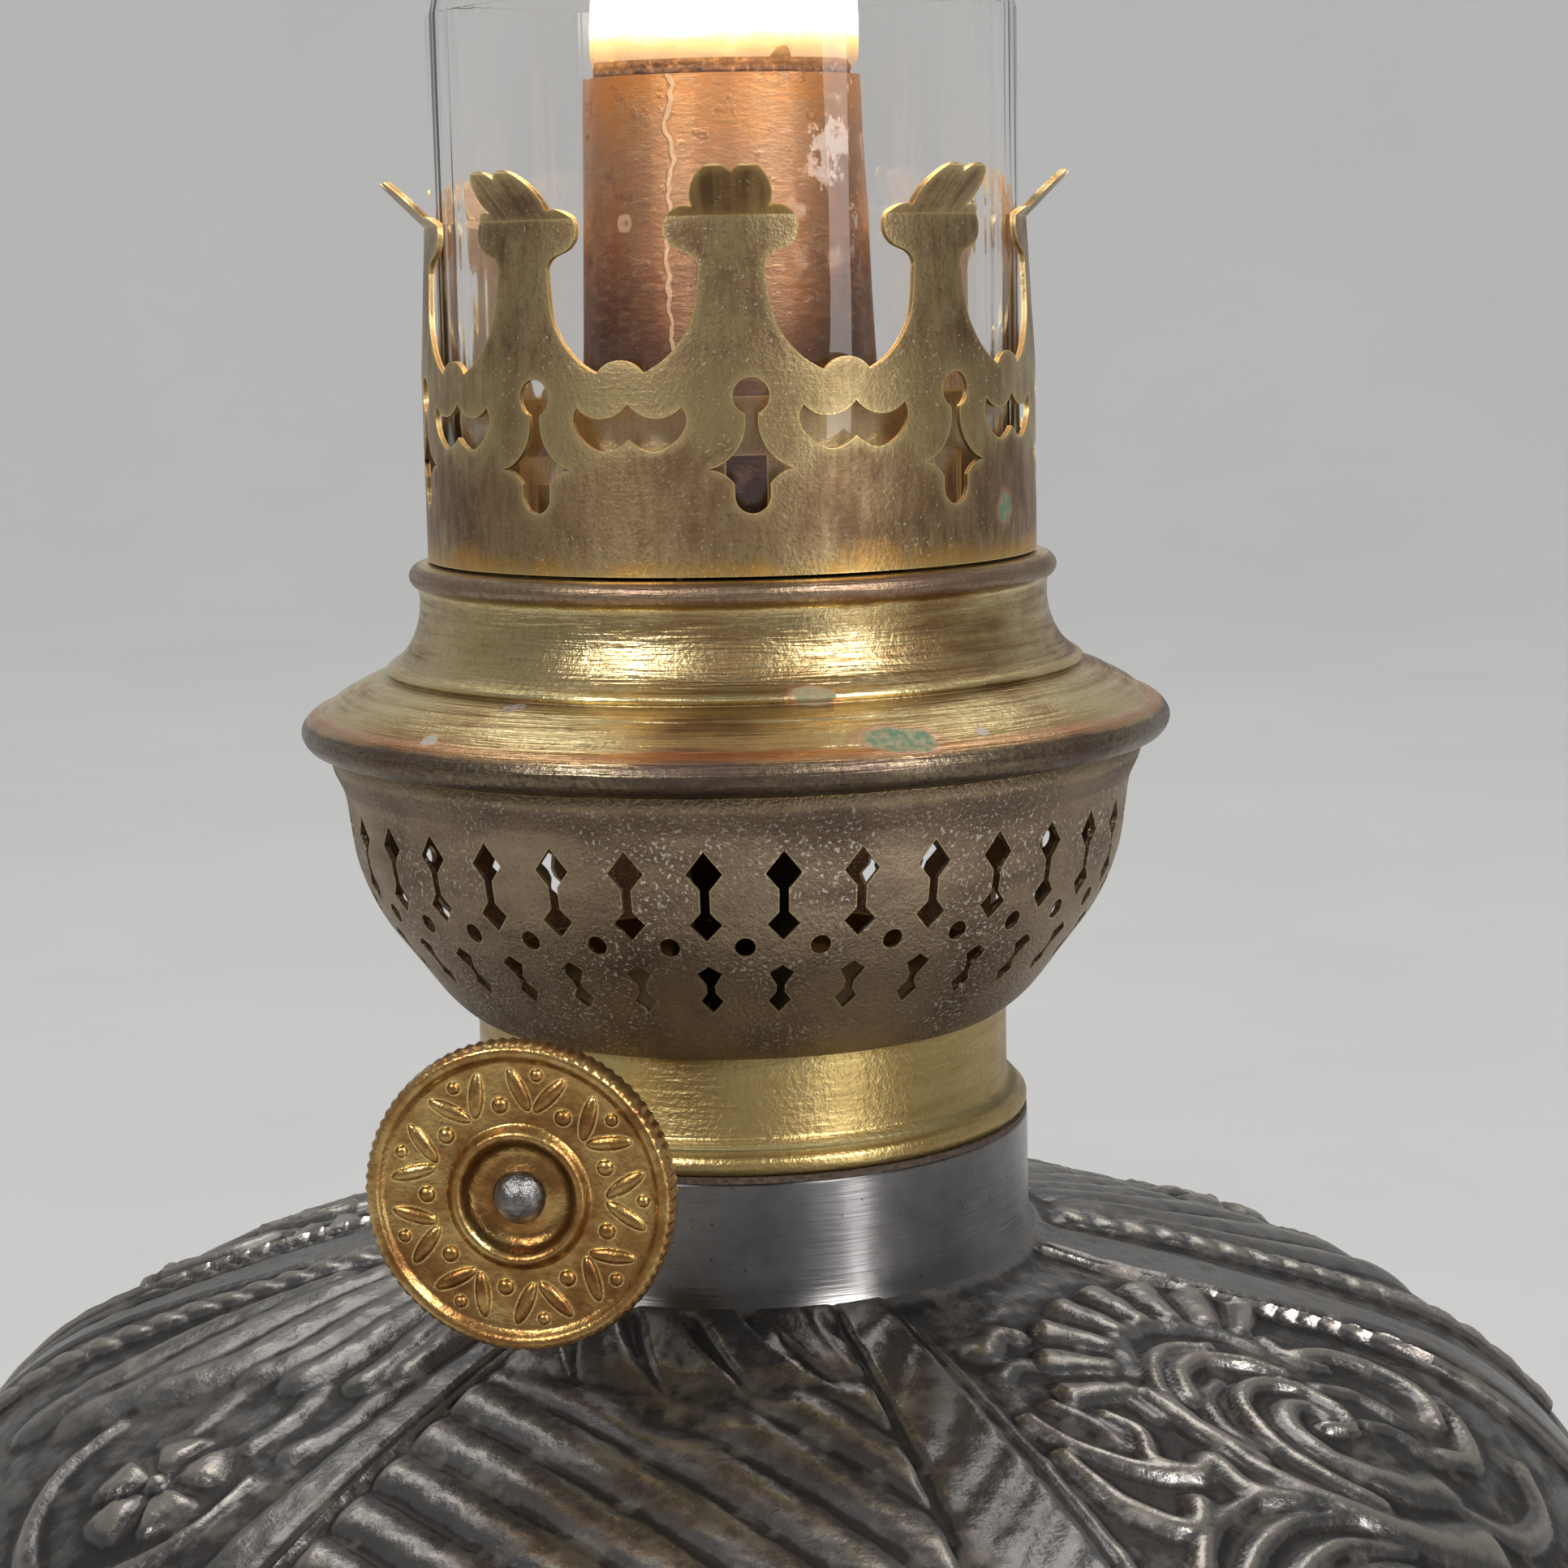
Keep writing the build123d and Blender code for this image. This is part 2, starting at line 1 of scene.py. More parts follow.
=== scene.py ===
import bpy
import bmesh
import numpy as np
from math import cos, pi, radians, sin, tau
from mathutils import Euler, Matrix, Vector, noise


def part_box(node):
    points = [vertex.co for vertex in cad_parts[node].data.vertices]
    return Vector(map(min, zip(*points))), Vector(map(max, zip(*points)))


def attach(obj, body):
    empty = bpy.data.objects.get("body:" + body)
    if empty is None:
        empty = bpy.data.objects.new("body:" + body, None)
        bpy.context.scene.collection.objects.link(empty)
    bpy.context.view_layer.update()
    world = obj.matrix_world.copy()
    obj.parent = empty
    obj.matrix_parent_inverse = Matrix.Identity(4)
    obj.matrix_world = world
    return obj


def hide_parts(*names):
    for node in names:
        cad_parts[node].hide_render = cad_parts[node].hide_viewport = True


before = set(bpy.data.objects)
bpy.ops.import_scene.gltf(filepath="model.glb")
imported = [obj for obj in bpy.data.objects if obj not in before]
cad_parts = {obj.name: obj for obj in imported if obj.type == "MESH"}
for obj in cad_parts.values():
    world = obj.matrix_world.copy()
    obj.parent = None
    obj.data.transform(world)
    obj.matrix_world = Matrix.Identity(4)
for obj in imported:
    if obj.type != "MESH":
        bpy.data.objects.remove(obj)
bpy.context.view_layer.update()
mm = 0.001
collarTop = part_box("font_collar")[1].z / mm      # burner heights below count from here, in mm
print("frame loaded, collar top at", round(collarTop, 2), "mm")


class Value:
    def __init__(self, finish, socket):
        self.finish, self.socket = finish, socket

    def maths(self, operation, first, second=0.0):
        return self.finish.maths(operation, first, second)

    def __add__(self, other):
        return self.maths("ADD", self, other)

    def __sub__(self, other):
        return self.maths("SUBTRACT", self, other)

    def __rsub__(self, other):
        return self.maths("SUBTRACT", other, self)

    def __mul__(self, other):
        return self.maths("MULTIPLY", self, other)

    def __truediv__(self, other):
        return self.maths("DIVIDE", self, other)

    __radd__ = __add__
    __rmul__ = __mul__

    def most(self, other):
        return self.maths("MAXIMUM", self, other)


class Finish:
    def __init__(self, name):
        self.material = bpy.data.materials.new(name)
        self.material.use_nodes = True
        self.tree = self.material.node_tree
        self.tree.nodes.clear()
        self.place = self.node("ShaderNodeTexCoord", {}, {}, "Object")

    def node(self, kind, settings, values, output=0):
        made = self.tree.nodes.new(kind)
        for name, setting in settings.items():
            if name == "stops":
                elements = made.color_ramp.elements
                for _ in range(len(setting) - 2):
                    elements.new(0.5)
                for element, (position, colour) in zip(elements, setting):
                    element.position = position
                    element.color = (*colour, 1)
            else:
                setattr(made, name, setting)
        for name, value in values.items():
            if isinstance(value, Value):
                self.tree.links.new(value.socket, made.inputs[name])
            elif value is not None:
                made.inputs[name].default_value = value
        return Value(self, made.outputs[output])

    def axis(self, name):
        return self.node("ShaderNodeSeparateXYZ", {}, {0: self.place}, name)

    def stretched(self, x, y, z):
        return self.node("ShaderNodeMapping", {}, {"Vector": self.place, "Scale": (x, y, z)})

    def noise(self, scale, detail=3.0, roughness=0.5, at=None):
        values = {"Vector": at or self.place, "Scale": scale, "Detail": detail, "Roughness": roughness}
        return self.node("ShaderNodeTexNoise", {}, values)

    def cells(self, scale):
        return self.node("ShaderNodeTexVoronoi", {}, {"Vector": self.place, "Scale": scale})

    def between(self, value, low, high):
        return self.node("ShaderNodeMapRange", {"interpolation_type": "SMOOTHSTEP"},
                         {"Value": value, "From Min": low, "From Max": high})

    def blend(self, factor, first, second, mode="MIX"):
        values = {0: factor, 6: self.colour(first), 7: self.colour(second)}
        return self.node("ShaderNodeMix", {"data_type": "RGBA", "blend_type": mode}, values, 2)

    def colour(self, given):
        return given if isinstance(given, Value) else (*given, 1.0)

    def ramp(self, value, *stops):
        return self.node("ShaderNodeValToRGB", {"stops": stops}, {0: value})

    def turned(self, around, across):           # coordinates that run round a turned part
        x, y, z, radius = self.axis("X"), self.axis("Y"), self.axis("Z"), self.radius()
        return self.node("ShaderNodeCombineXYZ", {}, {0: x / radius * around, 1: y / radius * around,
                                                      2: (z - radius) * across})

    def maths(self, operation, first, second=0.0):
        return self.node("ShaderNodeMath", {"operation": operation}, {0: first, 1: second})

    def radius(self):
        x, y = self.axis("X"), self.axis("Y")
        return self.maths("SQRT", x * x + y * y)

    def spot(self, centre, size, ragged=0.3, grain=900.0):
        away = self.node("ShaderNodeVectorMath", {"operation": "SUBTRACT"}, {0: self.place, 1: centre})
        away = self.node("ShaderNodeVectorMath", {"operation": "DIVIDE"}, {0: away, 1: size})
        far = self.node("ShaderNodeVectorMath", {"operation": "LENGTH"}, {0: away}, "Value")
        return 1.0 - self.between(far + (self.noise(grain) - 0.5) * ragged, 0.75, 1.05)

    def ring(self, centre, size):                # a small ring mark, in burner millimetres
        spot = (centre[0] * mm, centre[1] * mm, (centre[2] + collarTop) * mm)
        away = self.node("ShaderNodeVectorMath", {"operation": "DISTANCE"}, {0: self.place, 1: spot},
                         "Value") * 1000.0
        return 1.0 - self.between(self.maths("ABSOLUTE", away - size), 0.1, 0.3)

    def edges(self, radius):                     # 1 along sharp edges, 0 on flat metal
        soft = self.node("ShaderNodeBevel", {"samples": 6}, {"Radius": radius})
        true = self.node("ShaderNodeNewGeometry", {}, {}, "Normal")
        match = self.node("ShaderNodeVectorMath", {"operation": "DOT_PRODUCT"}, {0: soft, 1: true}, "Value")
        return self.between(match, 0.995, 0.86)

    def attribute(self, name):
        return self.node("ShaderNodeAttribute", {"attribute_name": name}, {}, "Fac")

    def bump(self, height, strength, distance):
        return self.node("ShaderNodeBump", {}, {"Height": height, "Strength": strength, "Distance": distance})

    def finish(self, **inputs):
        values = {name.replace("_", " "): value for name, value in inputs.items()}
        shader = self.node("ShaderNodeBsdfPrincipled", {}, values)
        self.surface(shader)
        return self.material

    def surface(self, shader):
        out = self.tree.nodes.new("ShaderNodeOutputMaterial")
        self.tree.links.new(shader.socket, out.inputs["Surface"])


def agedBrass(name, look):
    make = Finish(name)
    broad = make.noise(look["broadScale"], 4, 0.6)
    streaks = make.noise(1.0, 5, 0.65, at=make.turned(look["streakLength"], look["streakCount"]))
    fine = make.noise(look["grainScale"], 2, 0.7)
    tone = make.between(broad * 0.55 + streaks * 0.45, look["low"], look["high"])
    colour = make.ramp(tone, (0.0, look["dark"]), (0.45, look["mid"]), (1.0, look["bright"]))
    colour = make.blend(make.between(fine, 0.5, 0.75) * look["mottle"], colour, look["dark"])
    flecks = make.between(make.noise(look["fleckScale"], 2, 0.6), look["fleckFrom"], look["fleckFrom"] + 0.05)
    flecks = flecks * make.between(broad, 0.62, 0.4)
    colour = make.blend(flecks * look["flecks"], colour, (0.60, 0.58, 0.50))
    rough = look["rough"] + (1.0 - tone) * look["roughSpread"] + flecks * 0.2
    metal = 1.0 - flecks * look["flecks"] * 0.8
    level, reach = make.axis("Z") * 1000.0 - collarTop, make.radius() * 1000.0
    blur = look.get("zoneBlur", 0.25)
    # bands of another tone round the part; on the dish some are painted shade and painted highlight
    for low, high, near, tint, share, dull in look.get("zones", []):
        patchy = level + (broad - 0.5) * blur * 4.0
        above = make.between(patchy, low - blur, low + blur)
        zone = above * (1.0 - make.between(patchy, high - blur, high + blur))
        zone = zone * make.between(reach, near - 0.2, near + 0.2) * (0.55 + fine * 0.7)
        colour = make.blend(zone * share, colour, tint)
        rough = rough + zone * dull
    if look.get("edges"):
        edge = make.edges(look["edgeWidth"])
        if look.get("halo"):
            worn = make.edges(look["halo"]) * make.between(make.noise(380, 4, 0.7) + broad * 0.6, 0.55, 0.85)
            colour = make.blend(worn * 0.6, colour, (0.56, 0.43, 0.21))
        colour = make.blend(edge * look["edges"], colour, (0.86, 0.66, 0.28))
        rough = rough - edge * 0.1
    for place, size, tint in look.get("spots", []):
        halo = make.spot(place, [side * 1.35 for side in size], 0.5)
        mark = make.spot(place, size, 0.6)
        colour = make.blend(halo * 0.6, colour, (0.50, 0.27, 0.17))
        colour = make.blend(mark * (0.65 + make.between(make.noise(1500), 0.35, 0.65) * 0.35), colour, tint)
        rough = rough.most(mark * 0.65)
        metal = metal * (1.0 - mark * 0.9)
    lathe = make.noise(1.0, 2, 0.5, at=make.turned(6.0, look["lathe"]))
    height = lathe * look["latheDepth"] + fine * look["grainDepth"] + broad * look.get("dents", 0.0)
    return make.finish(Base_Color=colour, Metallic=metal, Roughness=rough, Anisotropic=look.get("drawn", 0.0),
                       Anisotropic_Rotation=0.25, Normal=make.bump(height, 0.5, 0.0004))


def onTurned(azimuth, radius, height):           # a point on a turned part, in metres
    angle = radians(azimuth)
    return (radius * sin(angle) * mm, -radius * cos(angle) * mm, (collarTop + height) * mm)


crownLook = {
    "broadScale": 150, "streakLength": 30, "streakCount": 260, "grainScale": 2600, "low": 0.34,
    "high": 0.68, "dark": (0.15, 0.092, 0.05), "mid": (0.30, 0.205, 0.105), "bright": (0.45, 0.34, 0.175),
    "mottle": 0.65, "fleckScale": 3000, "fleckFrom": 0.64, "flecks": 0.45, "rough": 0.37,
    "roughSpread": 0.14, "lathe": 2500, "latheDepth": 0.1, "grainDepth": 0.25, "edges": 0.9,
    "edgeWidth": 0.0003, "halo": 0.0013, "drawn": 0.4, "zoneBlur": 1.6,
    "zones": [
        (49.0, 51.9, 0, (0.80, 0.42, 0.07), 0.75, -0.05),
        (54.0, 60.5, 0, (0.20, 0.115, 0.065), 0.45, 0.05),
        (61.5, 68.5, 0, (0.56, 0.44, 0.20), 0.3, -0.03)],
    "spots": [(onTurned(59, 27.2, 55.6), (0.0012, 0.0012, 0.0015), (0.09, 0.155, 0.085))]}
dishLook = {
    "broadScale": 70, "streakLength": 2.5, "streakCount": 1300, "grainScale": 2200, "low": 0.34,
    "high": 0.62, "dark": (0.16, 0.085, 0.042), "mid": (0.45, 0.325, 0.145),
    "bright": (0.68, 0.555, 0.285), "mottle": 0.3, "fleckScale": 2400, "fleckFrom": 0.71, "flecks": 0.6,
    "rough": 0.25, "roughSpread": 0.17, "lathe": 3200, "latheDepth": 0.5, "grainDepth": 0.25, "dents": 0.6,
    "zones": [
        # painted shade: near-black over the lower part of the rolled rim, which faces down
        (34.0, 37.6, 36.6, (0.085, 0.062, 0.055), 0.95, 0.06),
        (37.6, 38.35, 36.8, (0.42, 0.17, 0.075), 0.7, 0.0),
        (49.1, 51.6, 28.2, (0.17, 0.105, 0.09), 0.85, 0.1),
        # painted shade and painted highlight: a dark line in the crease under the step's lip, then a light
        # band on the lip's rounded top
        (41.1, 41.5, 30.0, (0.10, 0.06, 0.03), 0.6, 0.1),
        (41.6, 42.1, 30.5, (0.66, 0.52, 0.26), 0.6, 0.0),
        (42.4, 48.6, 27.5, (0.22, 0.12, 0.05), 0.35, 0.0),
        # painted highlight: a lighter band along the top of the rolled rim
        (38.4, 39.0, 35.5, (0.60, 0.40, 0.17), 0.45, 0.0)],
    "spots": [
        (onTurned(21, 36.7, 38.6), (0.0037, 0.0022, 0.0012), (0.09, 0.155, 0.085)),
        (onTurned(11.5, 30.9, 41.9), (0.0022, 0.0013, 0.0009), (0.22, 0.20, 0.11)),
        (onTurned(-43, 36.9, 38.4), (0.0010, 0.0010, 0.0006), (0.26, 0.27, 0.22)),
        (onTurned(-34.5, 32.1, 41.0), (0.0011, 0.0009, 0.0008), (0.12, 0.12, 0.12)),
        (onTurned(33, 36.5, 38.7), (0.0007, 0.0006, 0.0004), (0.30, 0.29, 0.24))]}
basketLook = {
    "broadScale": 90, "streakLength": 3, "streakCount": 500, "grainScale": 2800, "low": 0.3, "high": 0.72,
    "dark": (0.135, 0.092, 0.064), "mid": (0.255, 0.185, 0.125), "bright": (0.37, 0.285, 0.19),
    "mottle": 0.45, "fleckScale": 2900, "fleckFrom": 0.585, "flecks": 0.6, "rough": 0.42,
    "roughSpread": 0.14, "lathe": 900,
    "zones": [
        (31.4, 33.2, 0, (0.15, 0.10, 0.075), 0.45, 0.05),
        (33.3, 36.0, 0, (0.36, 0.27, 0.15), 0.4, -0.04)],
    "latheDepth": 0.1, "grainDepth": 0.8, "edges": 0.45, "edgeWidth": 0.00025}
bandLook = {
    "broadScale": 60, "streakLength": 2, "streakCount": 700, "grainScale": 1800, "low": 0.25, "high": 0.7,
    "dark": (0.23, 0.15, 0.055), "mid": (0.45, 0.32, 0.125), "bright": (0.57, 0.43, 0.185), "mottle": 0.25,
    "zones": [
        (2.45, 3.1, 0, (0.20, 0.21, 0.12), 0.6, 0.2),
        (0.2, 0.75, 0, (0.20, 0.13, 0.06), 0.6, 0.1)],
    "fleckScale": 1900, "fleckFrom": 0.74, "flecks": 0.5, "rough": 0.33, "roughSpread": 0.1, "lathe": 2200,
    "latheDepth": 0.3, "grainDepth": 0.35, "drawn": 0.4}
knobLook = {
    "broadScale": 260, "streakLength": 2, "streakCount": 300, "grainScale": 1500, "low": 0.3, "high": 0.68,
    "dark": (0.17, 0.07, 0.025), "mid": (0.35, 0.185, 0.06), "bright": (0.52, 0.36, 0.14), "mottle": 0.45,
    "fleckScale": 1500, "fleckFrom": 0.74, "flecks": 0.35, "rough": 0.27, "roughSpread": 0.14,
    "lathe": 100, "latheDepth": 0.0, "grainDepth": 0.4, "edges": 0.75, "edgeWidth": 0.00035}
feedLook = dict(bandLook, mid=(0.36, 0.26, 0.11), dark=(0.18, 0.11, 0.05))


def heatTintAndPaintedFlameLightBrass():
    look = {"top": 92.0, "bottom": 45.0}
    make = Finish("heatTintAndPaintedFlameLightBrass")
    height = (make.axis("Z") * 1000.0 - collarTop - look["bottom"]) * (1 / (look["top"] - look["bottom"]))
    broad = make.noise(150, 4, 0.6)
    level = height + (broad - 0.5) * 0.35
    # colour by height: darker towards the bottom; towards the top, heat tint plus painted flame light,
    # brighter and orange
    colour = make.ramp(level, (0.0, (0.030, 0.011, 0.006)), (0.44, (0.050, 0.018, 0.009)),
                       (0.65, (0.18, 0.080, 0.038)), (0.85, (0.38, 0.205, 0.105)),
                       (0.97, (0.60, 0.24, 0.05)))
    brushed = make.noise(1.0, 4, 0.7, at=make.turned(9.0, 1700.0))
    colour = make.blend(make.between(brushed, 0.45, 0.7) * make.between(height, 0.3, 0.85) * 0.6, colour,
                        (0.46, 0.30, 0.175))
    # painted highlight: a lighter vertical band down the middle of the tube, placed by X, over its middle
    # heights
    sideways = make.maths("ABSOLUTE", make.axis("X") * 1000.0 - 0.8)
    paintedCentreHighlight = make.between(sideways, 11.5, 3.5) * make.between(height, 0.3, 0.75)
    colour = make.blend(paintedCentreHighlight * 0.4, colour, (0.50, 0.32, 0.19))
    colour = make.blend(make.ring((-8.3, -9.0, 80.2), 0.62) * 0.8, colour, (0.74, 0.56, 0.40))
    burnt = make.between(make.noise(420, 4, 0.65), 0.55, 0.68)
    colour = make.blend(burnt * 0.6, colour, (0.09, 0.045, 0.03))
    wander = make.noise(1.0, 3, 0.7, at=make.stretched(60, 60, 190))
    seam = make.maths("ABSOLUTE", make.axis("X") * 1000.0 + 4.6 + (wander - 0.5) * 3.6)
    front = make.between(make.axis("Y"), 0.0, -0.004)
    line = (1.0 - make.between(seam, 0.12, 0.3)) * front
    colour = make.blend(line * 0.7, colour, (0.33, 0.24, 0.145))
    soot = make.between(make.noise(260, 5, 0.7), 0.54, 0.6) * make.between(height, 0.55, 0.9)
    soot = soot * make.between(make.axis("X") * 1000.0, 4.0, 8.0) * front
    colour = make.blend(soot * 0.8, colour, (0.30, 0.28, 0.27))
    specks = make.between(make.noise(1900, 2), 0.70, 0.74)
    colour = make.blend(specks * 0.6, colour, (0.42, 0.36, 0.28))
    metal = 1.0 - soot.most(line) * 0.8
    rough = 0.36 + burnt * 0.15 + soot * 0.3
    bump = make.bump(brushed * 0.4 + burnt * 0.2 + line * 0.8, 0.4, 0.0003)
    return make.finish(Base_Color=colour, Metallic=metal, Roughness=rough, Normal=bump)


def castSpelter():
    make = Finish("castSpelter")
    relief = make.attribute("relief")
    broad = make.noise(45, 4, 0.6)
    fine = make.noise(900, 4, 0.65)
    colour = make.ramp(make.between(broad, 0.3, 0.7), (0.0, (0.105, 0.100, 0.096)),
                       (1.0, (0.165, 0.157, 0.150)))
    worn = make.between(relief + (fine - 0.5) * 0.35 + (broad - 0.5) * 0.2, 0.62, 0.86)
    colour = make.blend(worn * 0.6, colour, (0.40, 0.355, 0.30))
    deep = make.between(relief + (fine - 0.5) * 0.25, 0.44, 0.26)
    colour = make.blend(deep * 0.85, colour, (0.022, 0.019, 0.017))
    dull = make.between(make.noise(210, 5, 0.6), 0.52, 0.64)
    colour = make.blend(dull * 0.3, colour, (0.24, 0.205, 0.165))
    rough = 0.27 + dull * 0.14 + deep * 0.2 + (fine - 0.5) * 0.15
    bump = make.bump(fine * 0.5 + make.noise(320, 3) * 0.8, 0.35, 0.0005)
    return make.finish(Base_Color=colour, Metallic=0.92, Roughness=rough, Normal=bump)


def polishedCollar():
    make = Finish("polishedCollar")
    rings = make.noise(1.0, 3, 0.6, at=make.turned(3.0, 2600.0))
    broad = make.noise(140, 3, 0.6)
    colour = make.ramp(broad, (0.3, (0.17, 0.165, 0.165)), (0.7, (0.27, 0.262, 0.258)))
    low = make.between(make.axis("Z") * 1000.0 - collarTop + (broad - 0.5) * 2.5, -7.6, -9.8)
    colour = make.blend(low * 0.6, colour, (0.13, 0.125, 0.12))
    pits = make.between(make.noise(1800, 2), 0.71, 0.75)
    colour = make.blend(pits * 0.7, colour, (0.07, 0.06, 0.055))
    return make.finish(Base_Color=colour, Metallic=1.0, Roughness=0.24 + rings * 0.12 + pits * 0.3,
                       Anisotropic=0.85, Anisotropic_Rotation=0.25,
                       Normal=make.bump(rings + broad * 0.8, 0.25, 0.00025))


def plainSteel(name, rough, shade=1.0):
    make = Finish(name)
    grain = make.noise(1500, 4, 0.7)
    tones = [tuple(part * shade for part in tone) for tone in ((0.28, 0.26, 0.25), (0.62, 0.60, 0.58))]
    colour = make.ramp(grain, (0.3, tones[0]), (0.7, tones[1]))
    return make.finish(Base_Color=colour, Metallic=1.0, Roughness=rough + grain * 0.15,
                       Normal=make.bump(grain, 0.5, 0.0003))


def oiledLeather():
    make = Finish("oiledLeather")
    grain = make.cells(1600)
    colour = make.ramp(grain, (0.0, (0.035, 0.022, 0.014)), (1.0, (0.085, 0.055, 0.035)))
    return make.finish(Base_Color=colour, Roughness=0.55 + grain * 0.2, Normal=make.bump(grain, 0.5, 0.0003))


def wovenWick():
    make = Finish("wovenWick")
    height = make.axis("Z") * 1000.0 - collarTop
    warp = make.node("ShaderNodeTexWave", {"bands_direction": "Z"}, {"Vector": make.place, "Scale": 500.0,
                                                                       "Distortion": 1.5, "Detail": 2.0})
    grain = make.noise(2200, 3, 0.7)
    colour = make.ramp(warp * 0.6 + grain * 0.4, (0.2, (0.40, 0.34, 0.24)), (0.8, (0.68, 0.62, 0.48)))
    oily = make.between(height, -40.0, 40.0)
    colour = make.blend(oily * 0.4, colour, (0.36, 0.25, 0.12))
    char = make.between(height + (make.noise(500, 4) - 0.5) * 5.0, 86.0, 91.5)
    burnt = make.ramp(make.noise(1300, 4, 0.7), (0.35, (0.02, 0.012, 0.008)), (0.55, (0.13, 0.055, 0.02)),
                      (0.75, (0.42, 0.20, 0.07)))
    colour = make.blend(char, colour, burnt)
    return make.finish(Base_Color=colour, Roughness=0.85, Normal=make.bump(warp * 0.5 + grain, 0.6, 0.0004))


def lampGlass():
    make = Finish("lampGlass")
    streak = make.noise(1.0, 2, 0.5, at=make.stretched(260, 260, 9))
    smear = make.between(make.noise(1.0, 4, 0.6, at=make.stretched(120, 120, 30)), 0.5, 0.8)
    return make.finish(Base_Color=(1.0, 0.992, 0.985, 1.0), Roughness=0.012 + smear * 0.05, IOR=1.47,
                       Transmission_Weight=1.0, Normal=make.bump(streak, 0.25, 0.0006))


spelter = castSpelter()
crownBrass = agedBrass("crownBrass", crownLook)
dishBrass = agedBrass("dishBrass", dishLook)
basketBronze = agedBrass("basketBronze", basketLook)
bandBrass = agedBrass("bandBrass", bandLook)
knobBrass = agedBrass("knobBrass", knobLook)
feedBrass = agedBrass("feedBrass", feedLook)
tubeBrass = heatTintAndPaintedFlameLightBrass()
collarMetal = polishedCollar()
tieSteel = plainSteel("tieSteel", 0.4)
rivetSteel = plainSteel("rivetSteel", 0.24, 0.45)
leather = oiledLeather()
cotton = wovenWick()
glass = lampGlass()
print("materials made")


def curved(points, perSpan=8):                    # smooth line through given points
    ends = [points[0], *points, points[-1]]
    line = []
    for a, b, c, d in zip(ends, ends[1:], ends[2:], ends[3:]):
        a, b, c, d = (Vector((*p[:2], 0)) for p in (a, b, c, d))
        for step in range(perSpan):
            t = step / perSpan
            bend, twist = 2 * a - 5 * b + 4 * c - d, 3 * b - a - 3 * c + d
            spot = 0.5 * (2 * b + (c - a) * t + bend * t * t + twist * t ** 3)
            line.append((spot.x, spot.y))
    line.append(tuple(points[-1][:2]))
    return line


def spun(outline, steps, place=Matrix.Identity(4), closed=True):   # outline in (radius, height) mm, about Z
    bm = bmesh.new()
    corners = [bm.verts.new((radius * mm, 0, height * mm)) for radius, height in outline]
    pairs = list(zip(corners, corners[1:])) + ([(corners[-1], corners[0])] if closed else [])
    sides = [bm.edges.new(pair) for pair in pairs]
    bmesh.ops.spin(bm, geom=corners + sides, cent=(0, 0, 0), axis=(0, 0, 1), angle=tau, steps=steps,
                   use_merge=True)
    bmesh.ops.remove_doubles(bm, verts=bm.verts, dist=1e-7)
    bmesh.ops.recalc_face_normals(bm, faces=bm.faces)
    bm.transform(place)
    return bm


def sheetOutline(outer, wall):                    # a closed outline for sheet metal under an outer line
    inner = []
    for index, point in enumerate(outer):
        before, after = outer[max(index - 1, 0)], outer[min(index + 1, len(outer) - 1)]
        along = Vector((after[0] - before[0], after[1] - before[1])).normalized()
        inner.append((point[0] + along.y * wall, point[1] - along.x * wall))
    return [*outer, *reversed(inner)]


def piece(bm, name, body, slot, material, *nodes, smoothAngle=40):
    mesh = bpy.data.meshes.new(name)
    bm.to_mesh(mesh)
    bm.free()
    made = bpy.data.objects.new(name, mesh)
    bpy.context.scene.collection.objects.link(made)
    mesh.materials.append(material)
    mesh.shade_smooth()
    mesh.set_sharp_from_angle(angle=radians(smoothAngle))
    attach(made, body)
    if nodes:
        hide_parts(*nodes)
    return made


def repaint(material, *nodes):
    for name in nodes:
        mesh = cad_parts[name].data
        mesh.materials.clear()
        mesh.materials.append(material)


repaint(crownBrass, "crown", "seat_ring")
repaint(dishBrass, "gallery_skirt", "gallery_floor")
repaint(basketBronze, "basket")
repaint(bandBrass, "thread_sleeve", "burner_floor")
repaint(tubeBrass, "wick_tube", "draught_tube", "draught_inlet")
repaint(feedBrass, "feed_shaft", "wick_wheel_front", "wick_wheel_back", "shaft_bearings", "shaft_bush")
repaint(tieSteel, "tie_rod", "tie_nut", "tie_washer")
repaint(leather, "seal_washer")
repaint(cotton, "wick")
print("frame repainted")


dish = {"wall": 0.5, "steps": 288}


def makeDish():
    low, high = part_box("gallery_dish")
    rim = high.x / mm
    bottom = low.z / mm - collarTop
    neck = [(25.8, 51.0), (27.3, 51.02), (28.3, 50.85), (28.85, 50.35), (28.95, 49.75), (28.7, 49.2),
            (28.25, 48.8), (28.1, 48.2), (28.1, 47.0), (28.3, 45.8), (28.75, 44.5), (29.45, 43.3),
            (30.3, 42.45), (30.9, 42.1), (31.2, 41.85), (31.28, 41.6), (31.15, 41.38), (31.1, 41.22)]
    brim = [(31.35, 41.1), (31.9, 40.98), (32.9, 40.7), (33.6, 40.42), (33.9, 40.15), (34.6, 39.9),
            (35.6, 39.35), (rim - 2.35, bottom + 3.8), (rim - 1.95, bottom + 3.45),
            (rim - 1.55, bottom + 3.35), (rim - 0.95, bottom + 3.1), (rim - 0.3, bottom + 2.45),
            (rim, bottom + 1.7), (rim - 0.2, bottom + 0.9), (rim - 0.75, bottom + 0.25),
            (rim - 1.4, bottom + 0.02)]
    outer = curved(neck + brim, 3) + [(36.0, bottom + 0.02)]
    outline = sheetOutline(outer, dish["wall"])
    bm = spun([(radius, collarTop + height) for radius, height in outline], dish["steps"])
    piece(bm, "galleryDish", "gallery", "dish_brass", dishBrass, "gallery_dish")


makeDish()


band = {"steps": 240, "notches": 0.05}


